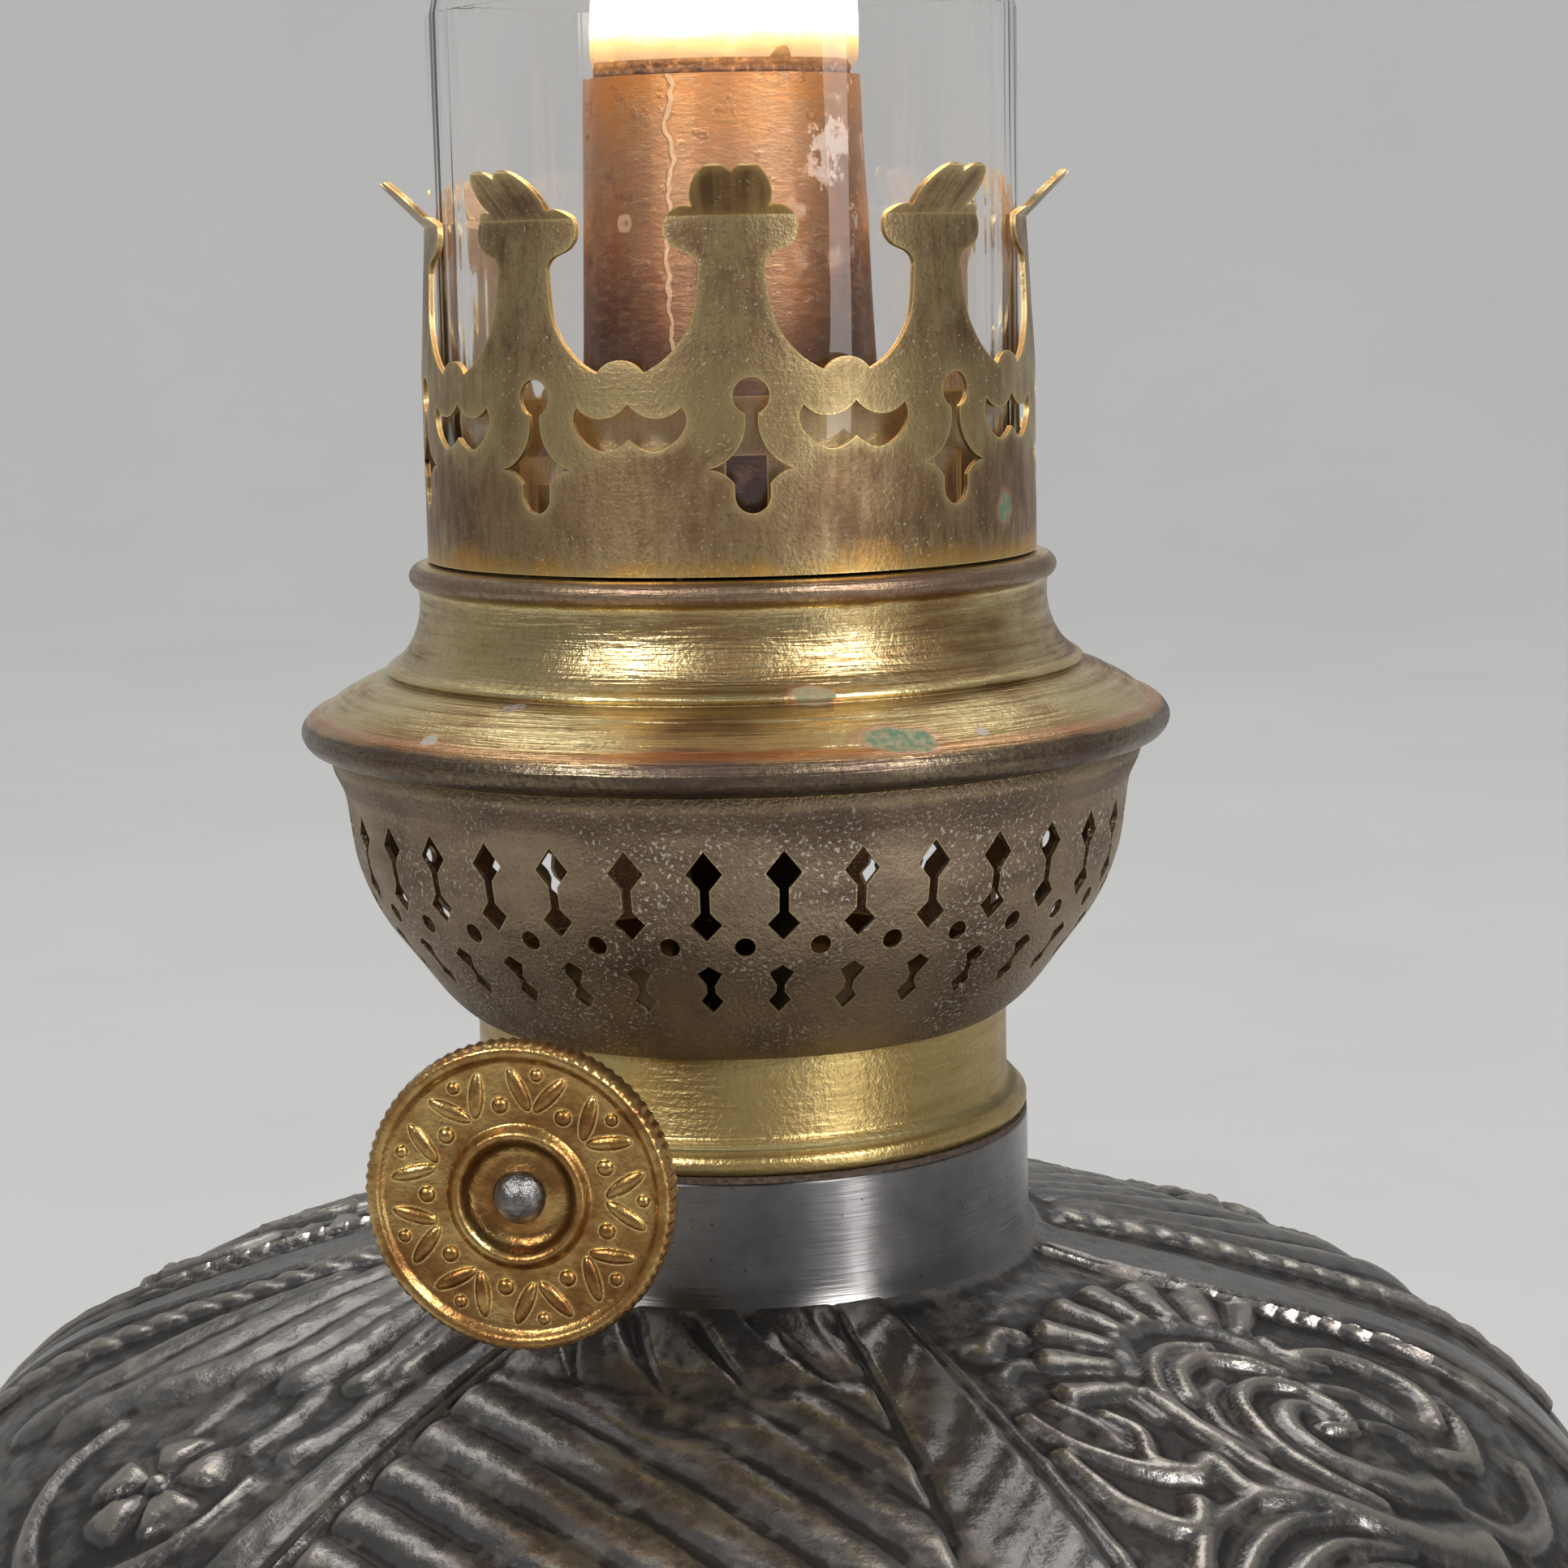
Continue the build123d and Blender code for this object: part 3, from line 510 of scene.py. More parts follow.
def makeBand():
    low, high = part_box("burner_band")
    top, reach = high.z / mm - collarTop, high.x / mm
    outer = [(23.6, top), (24.1, top), (24.1, 3.6), (24.25, 3.3), (24.75, 3.05), (25.05, 2.75), (25.0, 2.5)]
    turns = [radians(x) for x in range(80, -91, -17)]
    bead = [(reach - 0.75 + 0.75 * cos(a), 1.4 + 0.9 * sin(a)) for a in turns]
    outline = outer + bead + [(24.65, 0.5), (24.65, 2.4), (23.6, 2.4)]
    bm = spun([(radius, collarTop + height) for radius, height in outline], band["steps"])
    for vert in bm.verts:                         # small dints along the rolled bead
        height = vert.co.z / mm - collarTop
        if 0.4 < height < 2.4 and vert.co.xy.length > 24.9 * mm:
            dint = noise.noise(vert.co * 900) * 0.5 + noise.noise(vert.co * 260)
            vert.co.xy *= 1 - max(0.0, dint) * band["notches"] * 0.02
    piece(bm, "burnerBand", "burner", "band_brass", bandBrass, "burner_band")


def makeCollar():
    outer = [(24.8, 0.0), (25.75, 0.0), (25.95, -0.2), (25.97, -5.0), (26.0, -8.6), (26.2, -9.8),
             (26.9, -11.2), (28.0, -12.2), (28.0, -13.4), (24.8, -13.4)]
    bm = spun([(radius, collarTop + height) for radius, height in outer], band["steps"])
    piece(bm, "fontCollar", "lamp", "collar_steel", collarMetal, "font_collar")


makeBand()
makeCollar()
print("turned brass made")


chimneyTube = {"pinch": 17.6, "tube": 18.8, "waist": 58.0, "wall": 1.5, "steps": 160}


def makeChimney():
    low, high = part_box("chimney")
    base, top = low.z / mm, high.z / mm
    foot, pinch, tube = high.x / mm, chimneyTube["pinch"], chimneyTube["tube"]
    waist = base + chimneyTube["waist"]
    outer = [(tube - 0.1, top), (tube, top - 0.5), (tube, waist + 60), (tube, waist + 16)]
    outer += curved([(tube, waist + 14), (tube - 0.5, waist + 7), (pinch, waist), (pinch + 1.6, waist - 3.4),
                     (foot - 3.2, waist - 6.4), (foot - 0.9, waist - 8.9), (foot, waist - 12)], 8)
    outer += [(foot, waist - 30), (foot, base + 0.4), (foot - 0.25, base)]
    bm = spun(sheetOutline(outer, chimneyTube["wall"]), chimneyTube["steps"])
    chimney = piece(bm, "chimneyGlass", "chimney", "glass", glass, "chimney", smoothAngle=60)
    chimney.visible_shadow = False                # the flame's light passes through


makeChimney()
print("chimney made")


knob = {"ridges": 84, "leaves": 9}
shaftAngle = radians(-90 - 11)
feedPlace = Matrix.Translation((0, 0, collarTop * mm)) @ Matrix.Rotation(shaftAngle, 4, "Z")


def makeKnob():
    low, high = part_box("knob")
    centre = (low + high) / 2
    outward = Vector((cos(shaftAngle), sin(shaftAngle), 0))
    place = Matrix.Translation(centre) @ outward.to_track_quat("Z", "Y").to_matrix().to_4x4()
    face = [(0.0, 0.15), (1.6, 0.12), (2.6, -0.15), (3.4, -0.2), (4.1, 0.2), (4.5, 1.0), (4.85, 1.35),
            (5.25, 1.3), (5.7, 0.75), (6.1, 0.6), (7.5, 0.62), (9.0, 0.66), (10.5, 0.74), (10.95, 0.95),
            (11.3, 1.3), (11.75, 1.4), (12.1, 1.25)]
    outline = curved(face, 4) + [(12.35, 0.9), (12.4, 0.3), (12.4, -0.9), (12.2, -1.3), (11.0, -1.4),
                                 (0.0, -1.4)]
    bm = spun(outline, knob["ridges"] * 4, closed=False)
    for vert in bm.verts:                         # serrated edge
        reach = vert.co.xy.length / mm
        if reach > 12.0:
            turn = Vector(vert.co.xy).angle_signed(Vector((1, 0)))
            vert.co.xy *= 1 - 0.014 * (0.5 + 0.5 * cos(turn * knob["ridges"]))
    for index in range(knob["leaves"]):           # raised leaves and beads in place of any lettering
        turn = Matrix.Rotation(tau * index / knob["leaves"], 4, "Z")
        for side in (-1, 1):
            leaf = Matrix.Translation((8.5 * mm, side * 1.25 * mm, 0.6 * mm))
            leaf = leaf @ Matrix.Rotation(side * 0.6, 4, "Z")
            shape = leaf @ Matrix.Diagonal((1.9, 0.62, 0.5, 1))
            bmesh.ops.create_icosphere(bm, subdivisions=3, radius=mm, matrix=turn @ shape)
        tip = Matrix.Translation((9.9 * mm, 0, 0.68 * mm)) @ Matrix.Diagonal((0.55, 0.55, 0.45, 1))
        bmesh.ops.create_icosphere(bm, subdivisions=2, radius=mm, matrix=turn @ tip)
        bead = Matrix.Rotation(tau * (index + 0.5) / knob["leaves"], 4, "Z")
        bead = bead @ Matrix.Translation((7.4 * mm, 0, 0.6 * mm)) @ Matrix.Diagonal((0.7, 0.7, 0.5, 1))
        bmesh.ops.create_icosphere(bm, subdivisions=2, radius=mm, matrix=bead)
    bm.transform(place)
    piece(bm, "wickKnob", "feed", "knob_brass", knobBrass, "knob")

    head = curved([(0.0, 2.3), (0.8, 2.15), (1.6, 1.6), (2.1, 0.85), (2.05, 0.3)], 4)
    head += [(1.4, 0.05), (0.0, 0.05)]
    bm = spun(head, 48, place, closed=False)
    piece(bm, "knobRivet", "feed", "rivet_steel", rivetSteel, "knob_rivet")


makeKnob()
print("knob made")


font = {"around": 600, "rows": 152, "height": 1.25, "sunk": 0.8, "wall": 1.7, "repeat": 180, "start": -94,
        "spread": 1.7, "fluteSpacing": 5.5, "fluteLean": 42, "lobes": 32, "footLobes": 28}
# raised strokes: points are (azimuth from the front, radius), then width at each end and height
panelLeaves = [
    (((-48, 31), (-46.5, 35), (-45, 38.5), (-45, 41)), 1.9, 1.5, 0.85),
    (((-53, 31), (-50, 36), (-48, 40.5), (-48, 43.5)), 1.8, 1.5, 0.9),
    (((-59, 31), (-57, 37), (-55.5, 41.5), (-56, 45.5)), 2.0, 1.9, 0.9),
    (((-65, 31), (-63, 38), (-60.8, 43.5), (-61.5, 47.5)), 2.1, 1.9, 0.85),
    (((-71, 32), (-69, 40), (-66.5, 46.5), (-66.5, 50), (-68, 54.5)), 2.2, 2.3, 0.95),
    (((-77, 33), (-75.5, 42), (-72.5, 51), (-71, 56), (-71.5, 60.5)), 2.2, 2.5, 0.9),
    (((-81, 38), (-79.5, 50), (-77, 58), (-75.5, 64)), 1.8, 2.4, 0.8),
    (((-44, 44), (-43.5, 48), (-45, 53)), 1.2, 1.0, 0.5),
    (((-52, 46), (-50, 50), (-50, 54)), 1.0, 0.8, 0.45),
    (((-60, 51), (-58, 55), (-58.5, 57.5)), 1.0, 0.8, 0.4),
    (((-45.5, 57), (-45, 62), (-47, 67), (-51, 71)), 0.5, 0.9, 0.6),
    (((-66, 59), (-64, 65), (-60, 69.5), (-55, 72)), 0.5, 0.9, 0.6)]
rocaille = [
    (((46, 44), (50, 40.8), (55, 39.9), (60, 42), (63.5, 45.5), (64, 49)), 1.5, 0.8, 0.55),
    (((45, 58), (44, 52), (45.5, 47.5), (49.5, 44.6), (54, 44), (58, 46.2)), 1.0, 0.7, 0.95),
    (((47, 49.5), (50.5, 46.6), (55, 46.4), (58.5, 49), (60, 52.5)), 1.1, 0.5, 1.0),
    (((46.5, 57), (46.8, 53), (49.5, 50), (53, 49.2)), 0.5, 0.7, 0.6),
    (((58, 48.5), (59.5, 52), (58.5, 56), (56, 58.5)), 0.6, 0.9, 0.55),
    (((50, 66), (48.5, 62), (48.5, 57), (51, 52.6), (55, 51.2), (58.5, 53.5), (59, 57), (57, 59.6),
      (54.8, 58)), 0.9, 0.5, 0.95),
    (((57, 67.5), (54, 65.5), (51.5, 61), (52, 57), (54.4, 54.8), (56.8, 55.8), (56.6, 57.6)), 1.5, 0.7, 0.8),
    (((43.5, 47), (43.5, 54), (44.5, 60), (47, 65), (51, 69.5), (56, 72)), 0.7, 1.6, 1.0),
    (((29, 46), (30.5, 50), (33.5, 53.5), (36.5, 56)), 0.7, 0.8, 0.9),
    (((28.8, 51), (30, 57), (33.5, 61.5), (36, 59.5)), 0.8, 1.2, 0.95),
    (((36.5, 48), (37.8, 51), (36, 54), (38.5, 56.6), (41, 56), (41.2, 60), (44, 62.5)), 0.8, 1.3, 0.95),
    (((33, 45), (35, 48.5), (35, 51.5)), 0.8, 0.9, 0.7),
    (((38.5, 44.5), (41, 46.5), (41.5, 50)), 0.7, 0.8, 0.6),
    (((32.5, 36.5), (36.5, 34.8), (38.5, 36)), 1.4, 0.9, 0.9),
    (((31, 40), (35, 39), (38, 41)), 0.9, 0.8, 0.5),
    (((31, 66), (34.5, 62.2), (40, 60.8), (45, 62.5)), 0.9, 0.6, 0.8),
    (((33.5, 67.5), (37, 64.8), (42, 63.8), (47, 66)), 0.8, 0.6, 0.7),
    (((36.5, 69), (40, 67.2), (44, 67), (48.5, 69.5)), 0.8, 0.6, 0.75),
    (((40, 71), (43.5, 69.8), (47, 70.5), (50, 73)), 0.8, 0.6, 0.7),
    (((65.5, 52), (68.5, 54), (69.8, 57.5), (69, 62), (66, 64)), 0.9, 0.9, 0.95),
    (((66, 49), (64.6, 52), (65.8, 54.5)), 0.8, 0.4, 0.7),
    (((61.5, 66), (64, 67.6), (67.5, 66), (69.5, 63.5)), 0.9, 0.6, 0.8),
    (((57, 70), (60, 73), (65, 73.5), (69, 71)), 0.9, 0.7, 0.7),
    (((61.5, 55), (63.6, 58), (63, 62)), 0.8, 0.6, 0.5),
    (((59.5, 60), (61, 62.5), (60, 66)), 0.7, 0.5, 0.45)]
collarLeaves = [
    (((11.5, 27), (11, 30), (13.3, 36)), 1.5, 0.5, 0.75),
    (((4, 28), (2.5, 31), (4.5, 34)), 1.6, 0.9, 0.55)]


def flat(azimuth, radius):                        # plan position of a point on the font
    return radius * np.sin(np.radians(azimuth)), -radius * np.cos(np.radians(azimuth))


def stroke(height, x, y, line, first, last, rise):
    spots = [flat(azimuth, radius) for azimuth, radius in curved(line, 5)]
    for index, (start, end) in enumerate(zip(spots, spots[1:])):
        width = (first + (last - first) * index / len(spots)) * font["spread"]
        dx, dy = end[0] - start[0], end[1] - start[1]
        near = (np.abs(x - start[0]) < 8) & (np.abs(y - start[1]) < 8)
        px, py = x[near] - start[0], y[near] - start[1]
        along = np.clip((px * dx + py * dy) / (dx * dx + dy * dy + 1e-9), 0, 1)
        far = np.hypot(px - along * dx, py - along * dy) / width
        crest = 0.6 * np.clip(1 - far * far, 0, 1) + 0.4 * np.clip(1 - far, 0, 1)
        height[near] = np.maximum(height[near], rise * crest)


def soft(value, low, high):
    part = np.clip((value - low) / (high - low), 0, 1)
    return part * part * (3 - 2 * part)


def faded(height, keep):                          # back to the plain surface where keep is 0
    return height * keep + font["sunk"] / font["height"] * (1 - keep)


def shoulderRelief(azimuth, radius):              # raised pattern of the font's shoulder, 0 at the ground
    turnedTo = (azimuth - font["start"]) % font["repeat"] + font["start"]
    x, y = flat(turnedTo, radius)
    height = np.full_like(x, 0.08)
    for line, first, last, rise in panelLeaves + rocaille + collarLeaves:
        stroke(height, x, y, line, first, last, rise)

    cx, cy = flat(54, 50.5)                       # shell of rays that opens towards the collar
    aim = np.degrees(np.arctan2(x - cx, -(y - cy)))
    reach = np.hypot(x - cx, y - cy)
    spoke = np.abs(np.sin(np.radians(aim) * 10 + 0.6))
    ends = 1 - soft(reach, 15.8 + 0.8 * spoke, 17 + 0.8 * spoke)
    ray = 0.85 * spoke ** 0.7 * soft(reach, 9.4, 10.6) * ends
    facing = 1 - soft(np.abs((aim + 126 + 180) % 360 - 180), 66, 72)
    height = np.maximum(height, ray * facing)

    cx, cy = flat(-53, 61)                        # rosette in the leaf panel
    aim, reach = np.arctan2(y - cy, x - cx), np.hypot(x - cx, y - cy)
    petal = np.abs(np.cos(aim * 2.5))
    bloom = 0.85 * np.clip(1 - ((reach - 3.7) / 2.7) ** 2, 0, 1) ** 0.7 * soft(petal, 0.12, 0.75)
    height = np.maximum(height, np.maximum(bloom, 1.0 * np.sqrt(np.clip(1 - (reach / 1.1) ** 2, 0, 1))))

    lean = radians(font["fluteLean"])             # slanting flutes
    across = x * cos(lean) + y * sin(lean) + 29.0 - 0.12 * (radius - 46.7)
    wave = np.abs(np.cos(pi * across / font["fluteSpacing"]))
    inField = soft(turnedTo, -34.6, -34.0) * (1 - soft(turnedTo, 14.3, 15.0))
    begin = 36.8 + 5.5 * np.exp(-((turnedTo + 9) / 8) ** 2)
    fluted = (0.18 + 0.62 * wave ** 0.8) * soft(radius, begin - 1, begin + 4) * (1 - soft(radius, 74, 76))
    slant = (turnedTo - 14.8 - 1.0 * (radius - 31)) / 11.0
    slot = np.abs(slant - np.round(slant)) * 11.0 * radius * pi / 180
    gape = np.clip(1.15 - (radius - 29) / 9.5, 0.15, 1)
    lobes = 0.64 * (1 - 0.98 * (1 - soft(slot, 0.3 * gape, 1.3 * gape))) * (1 - soft(radius, 34.5, 39.5))
    height = np.maximum(height, inField * np.maximum(fluted, lobes))

    def strip(first, last, level):                # plain raised strip between two azimuths
        side = np.minimum(turnedTo - first, last - turnedTo) * radius * pi / 180
        return level * soft(side, 0.0, 0.55)

    edge = (turnedTo - 20.5) * radius * pi / 180
    slashes = 0.42 + 0.20 * np.abs(np.sin(radius * 0.5 + edge * 0.6 + 0.9 * np.sin(radius * 0.23))) ** 0.8
    height = np.maximum(height, strip(15.3, 25.6, 1.0) * slashes)
    height = np.maximum(height, strip(26.1, 27.3, 0.8))
    height = np.maximum(height, strip(-41.5, -36.4, 0.42))
    height = np.maximum(height, strip(-36.0, -34.8, 0.62))
    bend = turnedTo - 7 * soft(radius, 32, 62)
    for first, last, level in ((69.6, 71.3, 1.0), (71.9, 73.0, 0.75)):
        side = np.minimum(bend - first, last - bend) * radius * pi / 180
        height = np.maximum(height, level * soft(side, -0.1, 0.6) * (radius > 27.5))
    height = np.maximum(height, np.where(turnedTo > 74, 0.35 * soft(bend, 74.0, 74.8), 0))
    rope = (turnedTo + 87) * radius * pi / 180
    beads = 0.66 + 0.34 * np.abs(np.cos(pi * (radius / 3.0 + rope * 0.22)))
    cord = 1.05 * np.sqrt(np.clip(1 - (rope / 2.1) ** 2, 0, 1)) * beads * soft(radius, 27, 30)
    height = np.maximum(height, cord)
    notched = 0.9 * np.abs(np.sin(np.radians(azimuth) * 60)) * soft(radius, 78.6, 79.4)
    rim = np.maximum(0.5 * soft(radius, 76.0, 76.6), notched)
    height = np.where(radius > 76, rim, height)
    grain = np.array([noise.noise((a * 0.55, b * 0.55, 3.0)) for a, b in zip(x.ravel()[::4], y.ravel()[::4])])
    grain = np.repeat(grain, 4)[:x.size].reshape(x.shape)
    height = height + grain * 0.10
    return faded(height, soft(radius, 26.0, 28.4) * (1 - soft(radius, 81.6, 82.4)))


def lobedRelief(count, first, last, beadRow):     # plain lobes for the surfaces that match the shoulder
    def relief(azimuth, radius):
        lobe = np.abs(np.cos(np.radians(azimuth) * count / 2)) ** 0.6
        tip = last - 3 * lobe
        height = 0.9 * lobe * soft(radius, first, first + 3) * (1 - soft(radius, tip, tip + 2))
        row = np.clip(1 - ((radius - beadRow) / 1.3) ** 2, 0, 1)
        bead = np.abs(np.cos(np.radians(azimuth) * count * 2)) * row
        ends = soft(radius, first - 4, first - 3) * (1 - soft(radius, last + 4, last + 5))
        return faded(np.maximum(height, 0.8 * bead), ends)
    return relief


def ropeRelief(azimuth, radius):
    return 0.45 + 0.15 * np.cos(np.radians(azimuth) * 90 + (radius - 83) * 2.0)


def stemRelief(azimuth, radius):
    lobe = np.abs(np.cos(np.radians(azimuth) * 8)) ** 0.6
    return faded(0.8 * lobe, 1 - soft(radius, 17.2, 18.6))


def cast(name, node, outer, relief, rows=152, around=600):
    # outer runs along the surface; the mesh is spun, then raised along its own outline's normals
    line = [Vector((radius, height, 0)) for radius, height in outer]
    gone = np.concatenate([[0], np.cumsum([(b - a).length for a, b in zip(line, line[1:])])])
    steps = np.linspace(0, gone[-1], rows)
    radii = np.interp(steps, gone, [spot.x for spot in line])
    heights = np.interp(steps, gone, [spot.y for spot in line])
    outX, outZ = -np.gradient(heights), np.gradient(radii)
    length = np.hypot(outX, outZ)
    outX, outZ = outX / length, outZ / length
    inner = range(0, rows, rows // 6)
    back = [(radii[i] - outX[i] * font["wall"], heights[i] - outZ[i] * font["wall"]) for i in inner]
    bm = spun([*zip(radii, heights), *reversed(back)], around)
    mesh = bpy.data.meshes.new(name)
    bm.to_mesh(mesh)
    bm.free()
    spots = np.empty(len(mesh.vertices) * 3, dtype=np.float32)
    mesh.vertices.foreach_get("co", spots)
    spots = spots.reshape(-1, 3).astype(float)
    reach = np.hypot(spots[:, 0], spots[:, 1]) / mm
    level = spots[:, 2] / mm
    turned = np.degrees(np.arctan2(spots[:, 0], -spots[:, 1])) % 360
    turnIndex = np.round(turned / 360 * around).astype(int) % around
    rings, ringOf = np.unique(np.round(np.stack([reach, level]), 2), axis=1, return_inverse=True)
    away = np.abs(rings[0][:, None] - radii) + np.abs(rings[1][:, None] - heights)
    row = away.argmin(axis=1)[ringOf.ravel()]
    onFace = away.min(axis=1)[ringOf.ravel()] < 0.05
    grid = np.meshgrid(np.arange(around) * 360 / around, radii)
    raised = relief((grid[0] + 180) % 360 - 180, grid[1])
    smooth = raised.copy()
    for _ in range(4):
        beside = np.roll(smooth, 2, 1) + np.roll(smooth, -2, 1)
        smooth = (smooth + beside + np.roll(smooth, 2, 0) + np.roll(smooth, -2, 0)) / 5
    worn = np.clip(0.5 + (raised - smooth) * 1.1 + (raised - 0.5) * 0.28, 0, 1)
    rise = (raised[row, turnIndex] * font["height"] - font["sunk"]) * onFace
    angle = np.arctan2(spots[:, 1], spots[:, 0])
    spots[:, 0] += np.cos(angle) * outX[row] * rise * mm
    spots[:, 1] += np.sin(angle) * outX[row] * rise * mm
    spots[:, 2] += outZ[row] * rise * mm
    mesh.vertices.foreach_set("co", spots.astype(np.float32).ravel())
    mark = mesh.attributes.new("relief", "FLOAT", "POINT")
    mark.data.foreach_set("value", np.where(onFace, worn[row, turnIndex], 0.3).astype(np.float32))
    bm = bmesh.new()
    bm.from_mesh(mesh)
    return piece(bm, name, "lamp", "spelter", spelter, node, smoothAngle=80)


def makeFont():
    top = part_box("font_shoulder")[1].z / mm
    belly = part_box("font_shoulder")[0].z / mm
    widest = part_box("font_shoulder")[1].x / mm
    rise = top - belly
    shoulder = curved([(26.0, top), (33, top - rise * 0.047), (40, top - rise * 0.093),
                       (55, top - rise * 0.213), (widest * 0.8, top - rise * 0.341),
                       (widest * 0.907, top - rise * 0.547), (widest - 1.3, top - rise * 0.82),
                       (widest, belly)], 12)
    cast("fontShoulder", "font_shoulder", shoulder, shoulderRelief, font["rows"], font["around"])
    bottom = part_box("font_bowl")[0].z / mm
    deep = belly - bottom
    bowl = curved([(widest, belly), (widest - 2.2, belly - deep * 0.22), (widest * 0.86, belly - deep * 0.5),
                   (widest * 0.62, belly - deep * 0.78), (widest * 0.38, bottom + 2.6), (21.0, bottom)], 12)
    cast("fontBowl", "font_bowl", bowl, lobedRelief(font["lobes"], 30, 74, 26.5), 80, 512)
    band = [(widest + 0.1, belly + 3.0), (widest + 0.8, belly + 2.5), (widest + 1.2, belly + 1.2),
            (widest + 1.2, belly - 1.2), (widest + 0.8, belly - 2.5), (widest + 0.1, belly - 3.0)]
    cast("fontSeamBand", "font_seam_band", band, ropeRelief, 14, 720)
    foot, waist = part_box("foot"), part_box("stem")
    high, wide = foot[1].z / mm, foot[1].x / mm
    dome = curved([(20.0, high), (24.5, high - 7), (wide * 0.52, high * 0.6), (wide * 0.77, high * 0.38),
                   (wide - 6, high * 0.2), (wide - 1.2, high * 0.12), (wide, 2.2), (wide, 0.0)], 12)
    cast("footDome", "foot", dome, lobedRelief(font["footLobes"], 27, 57, 62.5), 90, 448)
    reach = waist[1].x / mm
    neck = curved([(reach, bottom), (reach - 3.3, bottom - 6), (reach - 5.5, (high + bottom) / 2),
                   (reach - 3.3, high + 6), (reach, high)], 12)
    cast("stemWaist", "stem", neck, stemRelief, 44, 240)


makeFont()
print("font, stem and foot made")


def makeWickChar():
    outer, inner, low = 11.35, 10.35, 91.4
    outline = [(outer, 0.0), (outer, 1.1), (outer - 0.15, 1.5), (inner + 0.1, 1.5), (inner, 1.1),
               (inner, 0.0)]
    bm = spun([(radius, collarTop + low + height) for radius, height in outline], 220)
    bmesh.ops.subdivide_edges(bm, edges=[edge for edge in bm.edges if edge.calc_length() > 0.5 * mm], cuts=1)
    for vert in bm.verts:                         # burnt, uneven top with one taller peak
        if vert.co.z > (collarTop + low + 0.9) * mm:
            ragged = noise.noise(vert.co * 700) * 0.55 + noise.noise(vert.co * 1900) * 0.35
            away = (Vector((vert.co.x, vert.co.y)) - Vector((4.6, -9.8)) * mm).length
            peak = max(0.0, 1 - away / (1.5 * mm))
            vert.co.z += (ragged + peak * 1.3) * mm
            vert.co.xy *= 1 + noise.noise(vert.co * 1500) * 0.03
    piece(bm, "wickChar", "wick", "wick_cotton", cotton)


makeWickChar()


burning = {"strength": 7.0, "glowPower": 0.21, "glowColour": (1.0, 0.50, 0.18), "glowHeight": 104,
           "glowSize": 0.009}


def makeFlame():
    outline = curved([(10.6, 91.6), (11.5, 92.6), (11.8, 94.5), (11.7, 98), (11.0, 104), (9.4, 112),
                      (6.9, 122), (4.0, 132), (1.6, 139), (0.0, 142)], 6)
    bm = spun([(radius, collarTop + height) for radius, height in outline], 64, closed=False)
    mesh = bpy.data.meshes.new("flame")
    bm.to_mesh(mesh)
    bm.free()
    flame = bpy.data.objects.new("flame", mesh)
    bpy.context.scene.collection.objects.link(flame)
    mesh.shade_smooth()
    make = Finish("flameLight")
    height = (make.axis("Z") * 1000.0 - collarTop - 92.0) + (make.noise(220, 3) - 0.5) * 2.5
    colour = make.ramp(height * 0.1, (0.0, (0.10, 0.022, 0.002)), (0.12, (0.17, 0.07, 0.012)),
                       (0.3, (0.30, 0.19, 0.07)), (0.55, (1.0, 0.93, 0.75)), (0.9, (0.8, 0.66, 0.4)))
    shine = make.node("ShaderNodeEmission", {}, {"Color": colour, "Strength": burning["strength"]})
    clear = make.node("ShaderNodeBsdfTransparent", {}, {})
    solid = make.between(height, -0.8, 5.5)
    make.surface(make.node("ShaderNodeMixShader", {}, {0: solid, 1: clear, 2: shine}))
    mesh.materials.append(make.material)
    flame.visible_shadow = False
    glow = bpy.data.lights.new("flameGlow", "POINT")
    glow.energy, glow.color = burning["glowPower"], burning["glowColour"]
    glow.shadow_soft_size = burning["glowSize"]
    lamp = bpy.data.objects.new("flameGlow", glow)
    lamp.location = (0, 0, (collarTop + burning["glowHeight"]) * mm)
    bpy.context.scene.collection.objects.link(lamp)


sweepSize = {"floor": 1900, "bend": 500, "top": 3600}


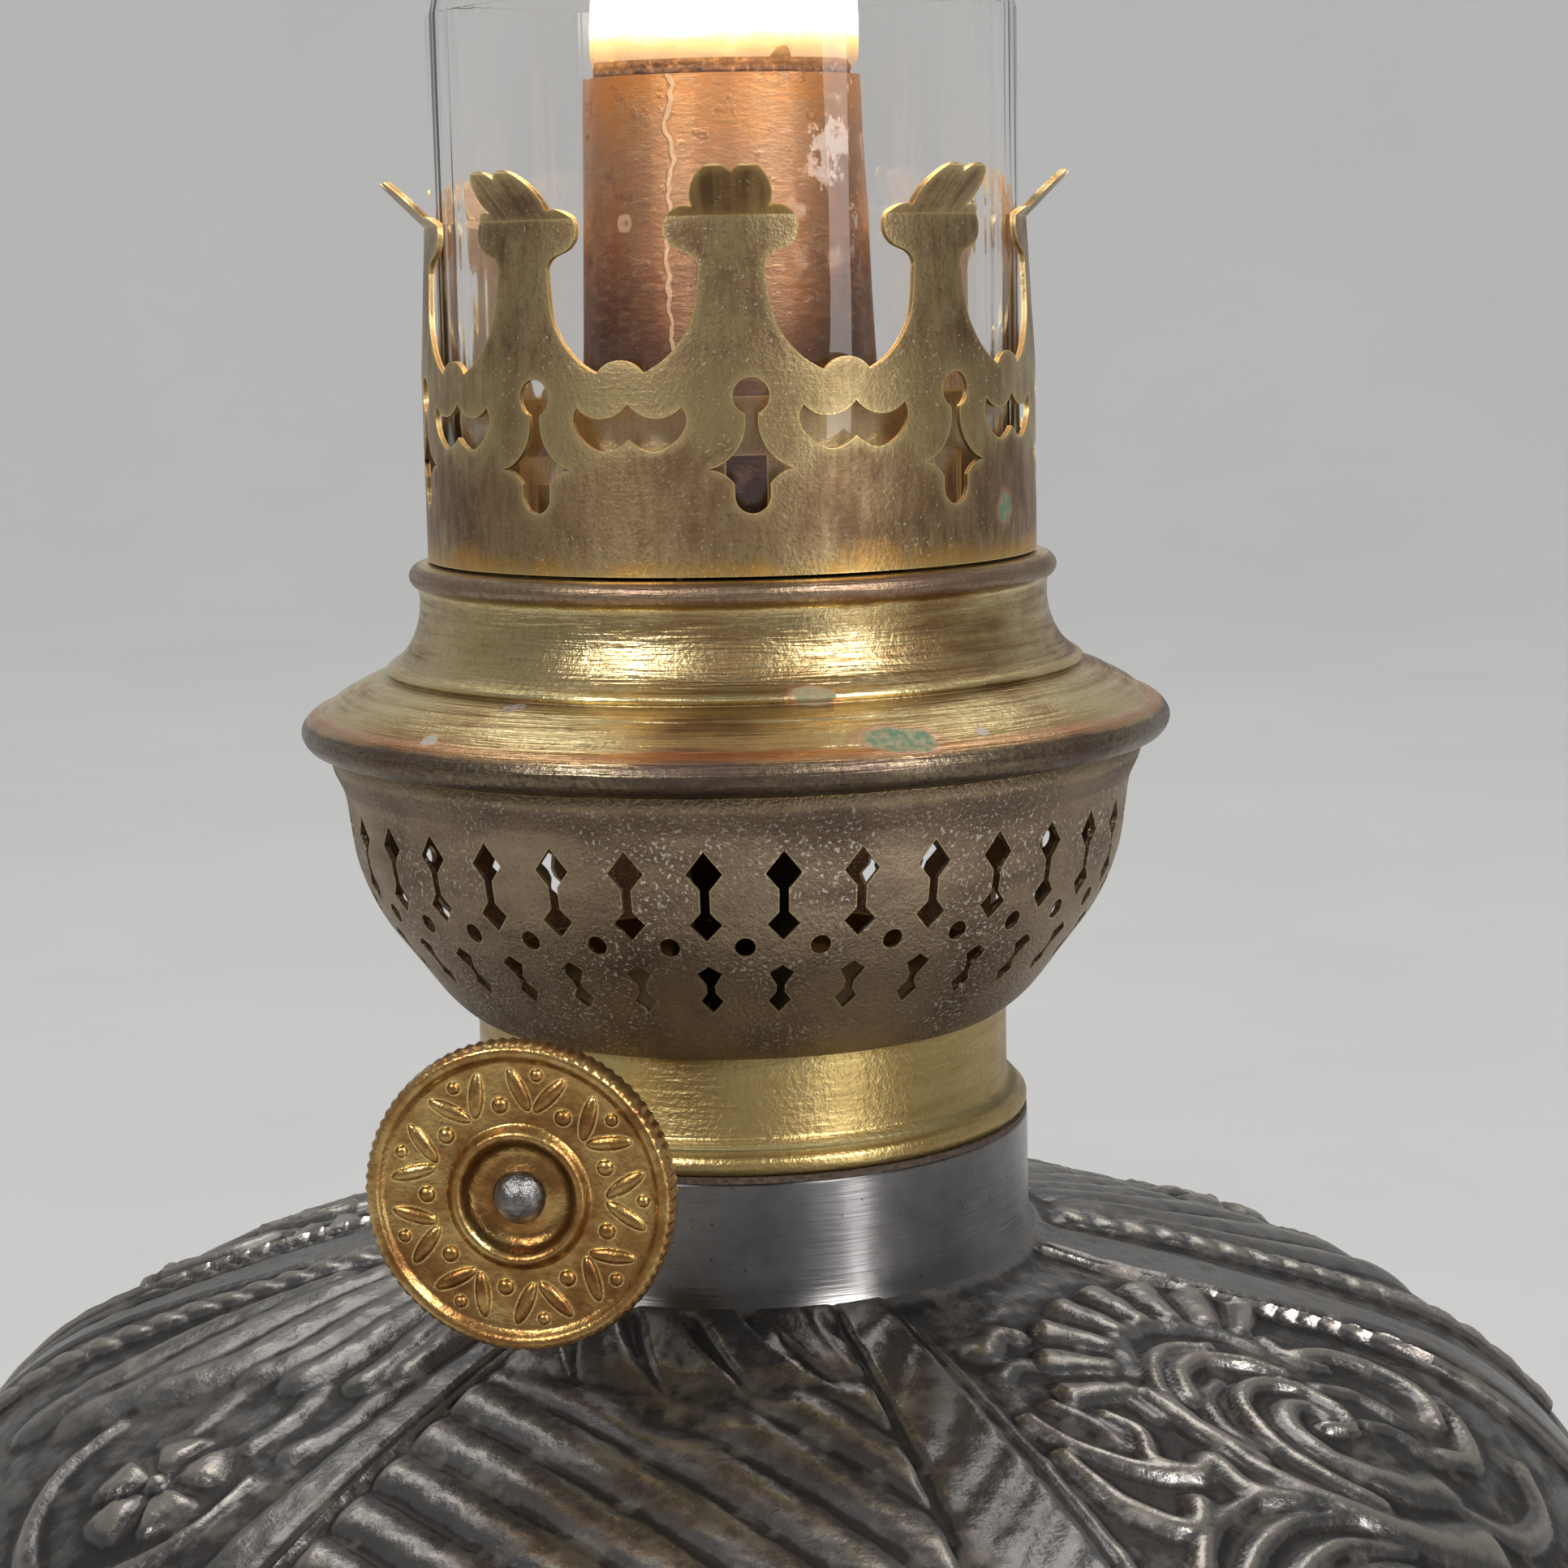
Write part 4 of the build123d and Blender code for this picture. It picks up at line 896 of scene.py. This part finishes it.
def makeSet():                                    # round pale sweep whose own emission paints it a little lighter at the back
    make = Finish("paleBackdrop")
    cloth = make.noise(4.0, 4, 0.6)
    tint = make.ramp(cloth, (0.3, (0.38, 0.376, 0.37)), (0.7, (0.43, 0.426, 0.42)))
    # painted light: the sweep's emission, weak at the front and stronger towards the back, stands in for
    # light falling on it
    back = make.between(make.axis("Y"), -1.2, 1.8)
    glow = make.ramp(back, (0.0, (0.05, 0.05, 0.05)), (1.0, (0.285, 0.285, 0.283)))
    material = make.finish(Base_Color=tint, Roughness=0.9, Emission_Color=glow, Emission_Strength=1.0)
    material.cycles.emission_sampling = "NONE"
    level, bend = sweepSize["floor"], sweepSize["bend"]
    arc = [(level + bend * sin(a), bend - bend * cos(a)) for a in np.linspace(0.0, pi / 2, 14)]
    bm = spun([(0.0, 0.0), (400, 0.0), (1000, 0.0), *arc, (level + bend, sweepSize["top"])], 96, closed=False)
    mesh = bpy.data.meshes.new("paleSweep")
    bm.to_mesh(mesh)
    bm.free()
    mesh.shade_smooth()
    mesh.materials.append(material)
    sweep = bpy.data.objects.new("paleSweep", mesh)
    bpy.context.scene.collection.objects.link(sweep)


# azimuth, elevation, distance, width, height and power of each soft light
studio = {"strip": (42, 2, 0.45, 0.055, 0.42, 0.3), "softBox-1": (-41, 38, 0.95, 0.26, 0.18, 5.5),
          "softBox1": (41, 38, 0.95, 0.26, 0.18, 5.5), "topFill": (180, 62, 1.3, 1.2, 0.8, 8)}
room = {"colour": (0.86, 0.90, 0.95, 1), "strength": 0.26}


def softBox(name, azimuth, elevation, distance, width, height, power, aim=(0, 0, 0.19)):
    light = bpy.data.lights.new(name, "AREA")
    light.shape, light.size, light.size_y, light.energy = "RECTANGLE", width, height, power
    made = bpy.data.objects.new(name, light)
    az, el = radians(azimuth), radians(elevation)
    away = Vector((sin(az) * cos(el), -cos(az) * cos(el), sin(el)))
    made.location = Vector(aim) + away * distance
    made.rotation_euler = away.to_track_quat("Z", "Y").to_euler()
    made.visible_camera = made.visible_transmission = False
    bpy.context.scene.collection.objects.link(made)


def makeLight():
    for name, values in studio.items():
        softBox(name, *values)
    world = bpy.data.worlds.new("paleRoom")
    world.use_nodes = True
    world.node_tree.nodes["Background"].inputs[0].default_value = room["colour"]
    world.node_tree.nodes["Background"].inputs[1].default_value = room["strength"]
    bpy.context.scene.world = world


view = {"distance": 282.5, "height": 73.5, "yaw": 0.848, "pitch": 8.749, "roll": -1.135, "lens": 72.24}


def makeCamera():
    data = bpy.data.cameras.new("mainView")
    data.lens, data.sensor_width = view["lens"], 36.0
    data.clip_start = 0.01
    camera = bpy.data.objects.new("mainView", data)
    turn = Euler((radians(90 - view["pitch"]), 0, radians(-view["yaw"])), "XYZ").to_matrix().to_4x4()
    spot = Matrix.Translation((0, -view["distance"] * mm, (collarTop + view["height"]) * mm))
    camera.matrix_world = spot @ turn @ Matrix.Rotation(radians(view["roll"]), 4, "Z")
    bpy.context.scene.collection.objects.link(camera)
    bpy.context.scene.camera = camera


makeFlame()
makeSet()
makeLight()
makeCamera()
bpy.context.scene.view_settings.view_transform = "Standard"
print("set ready")
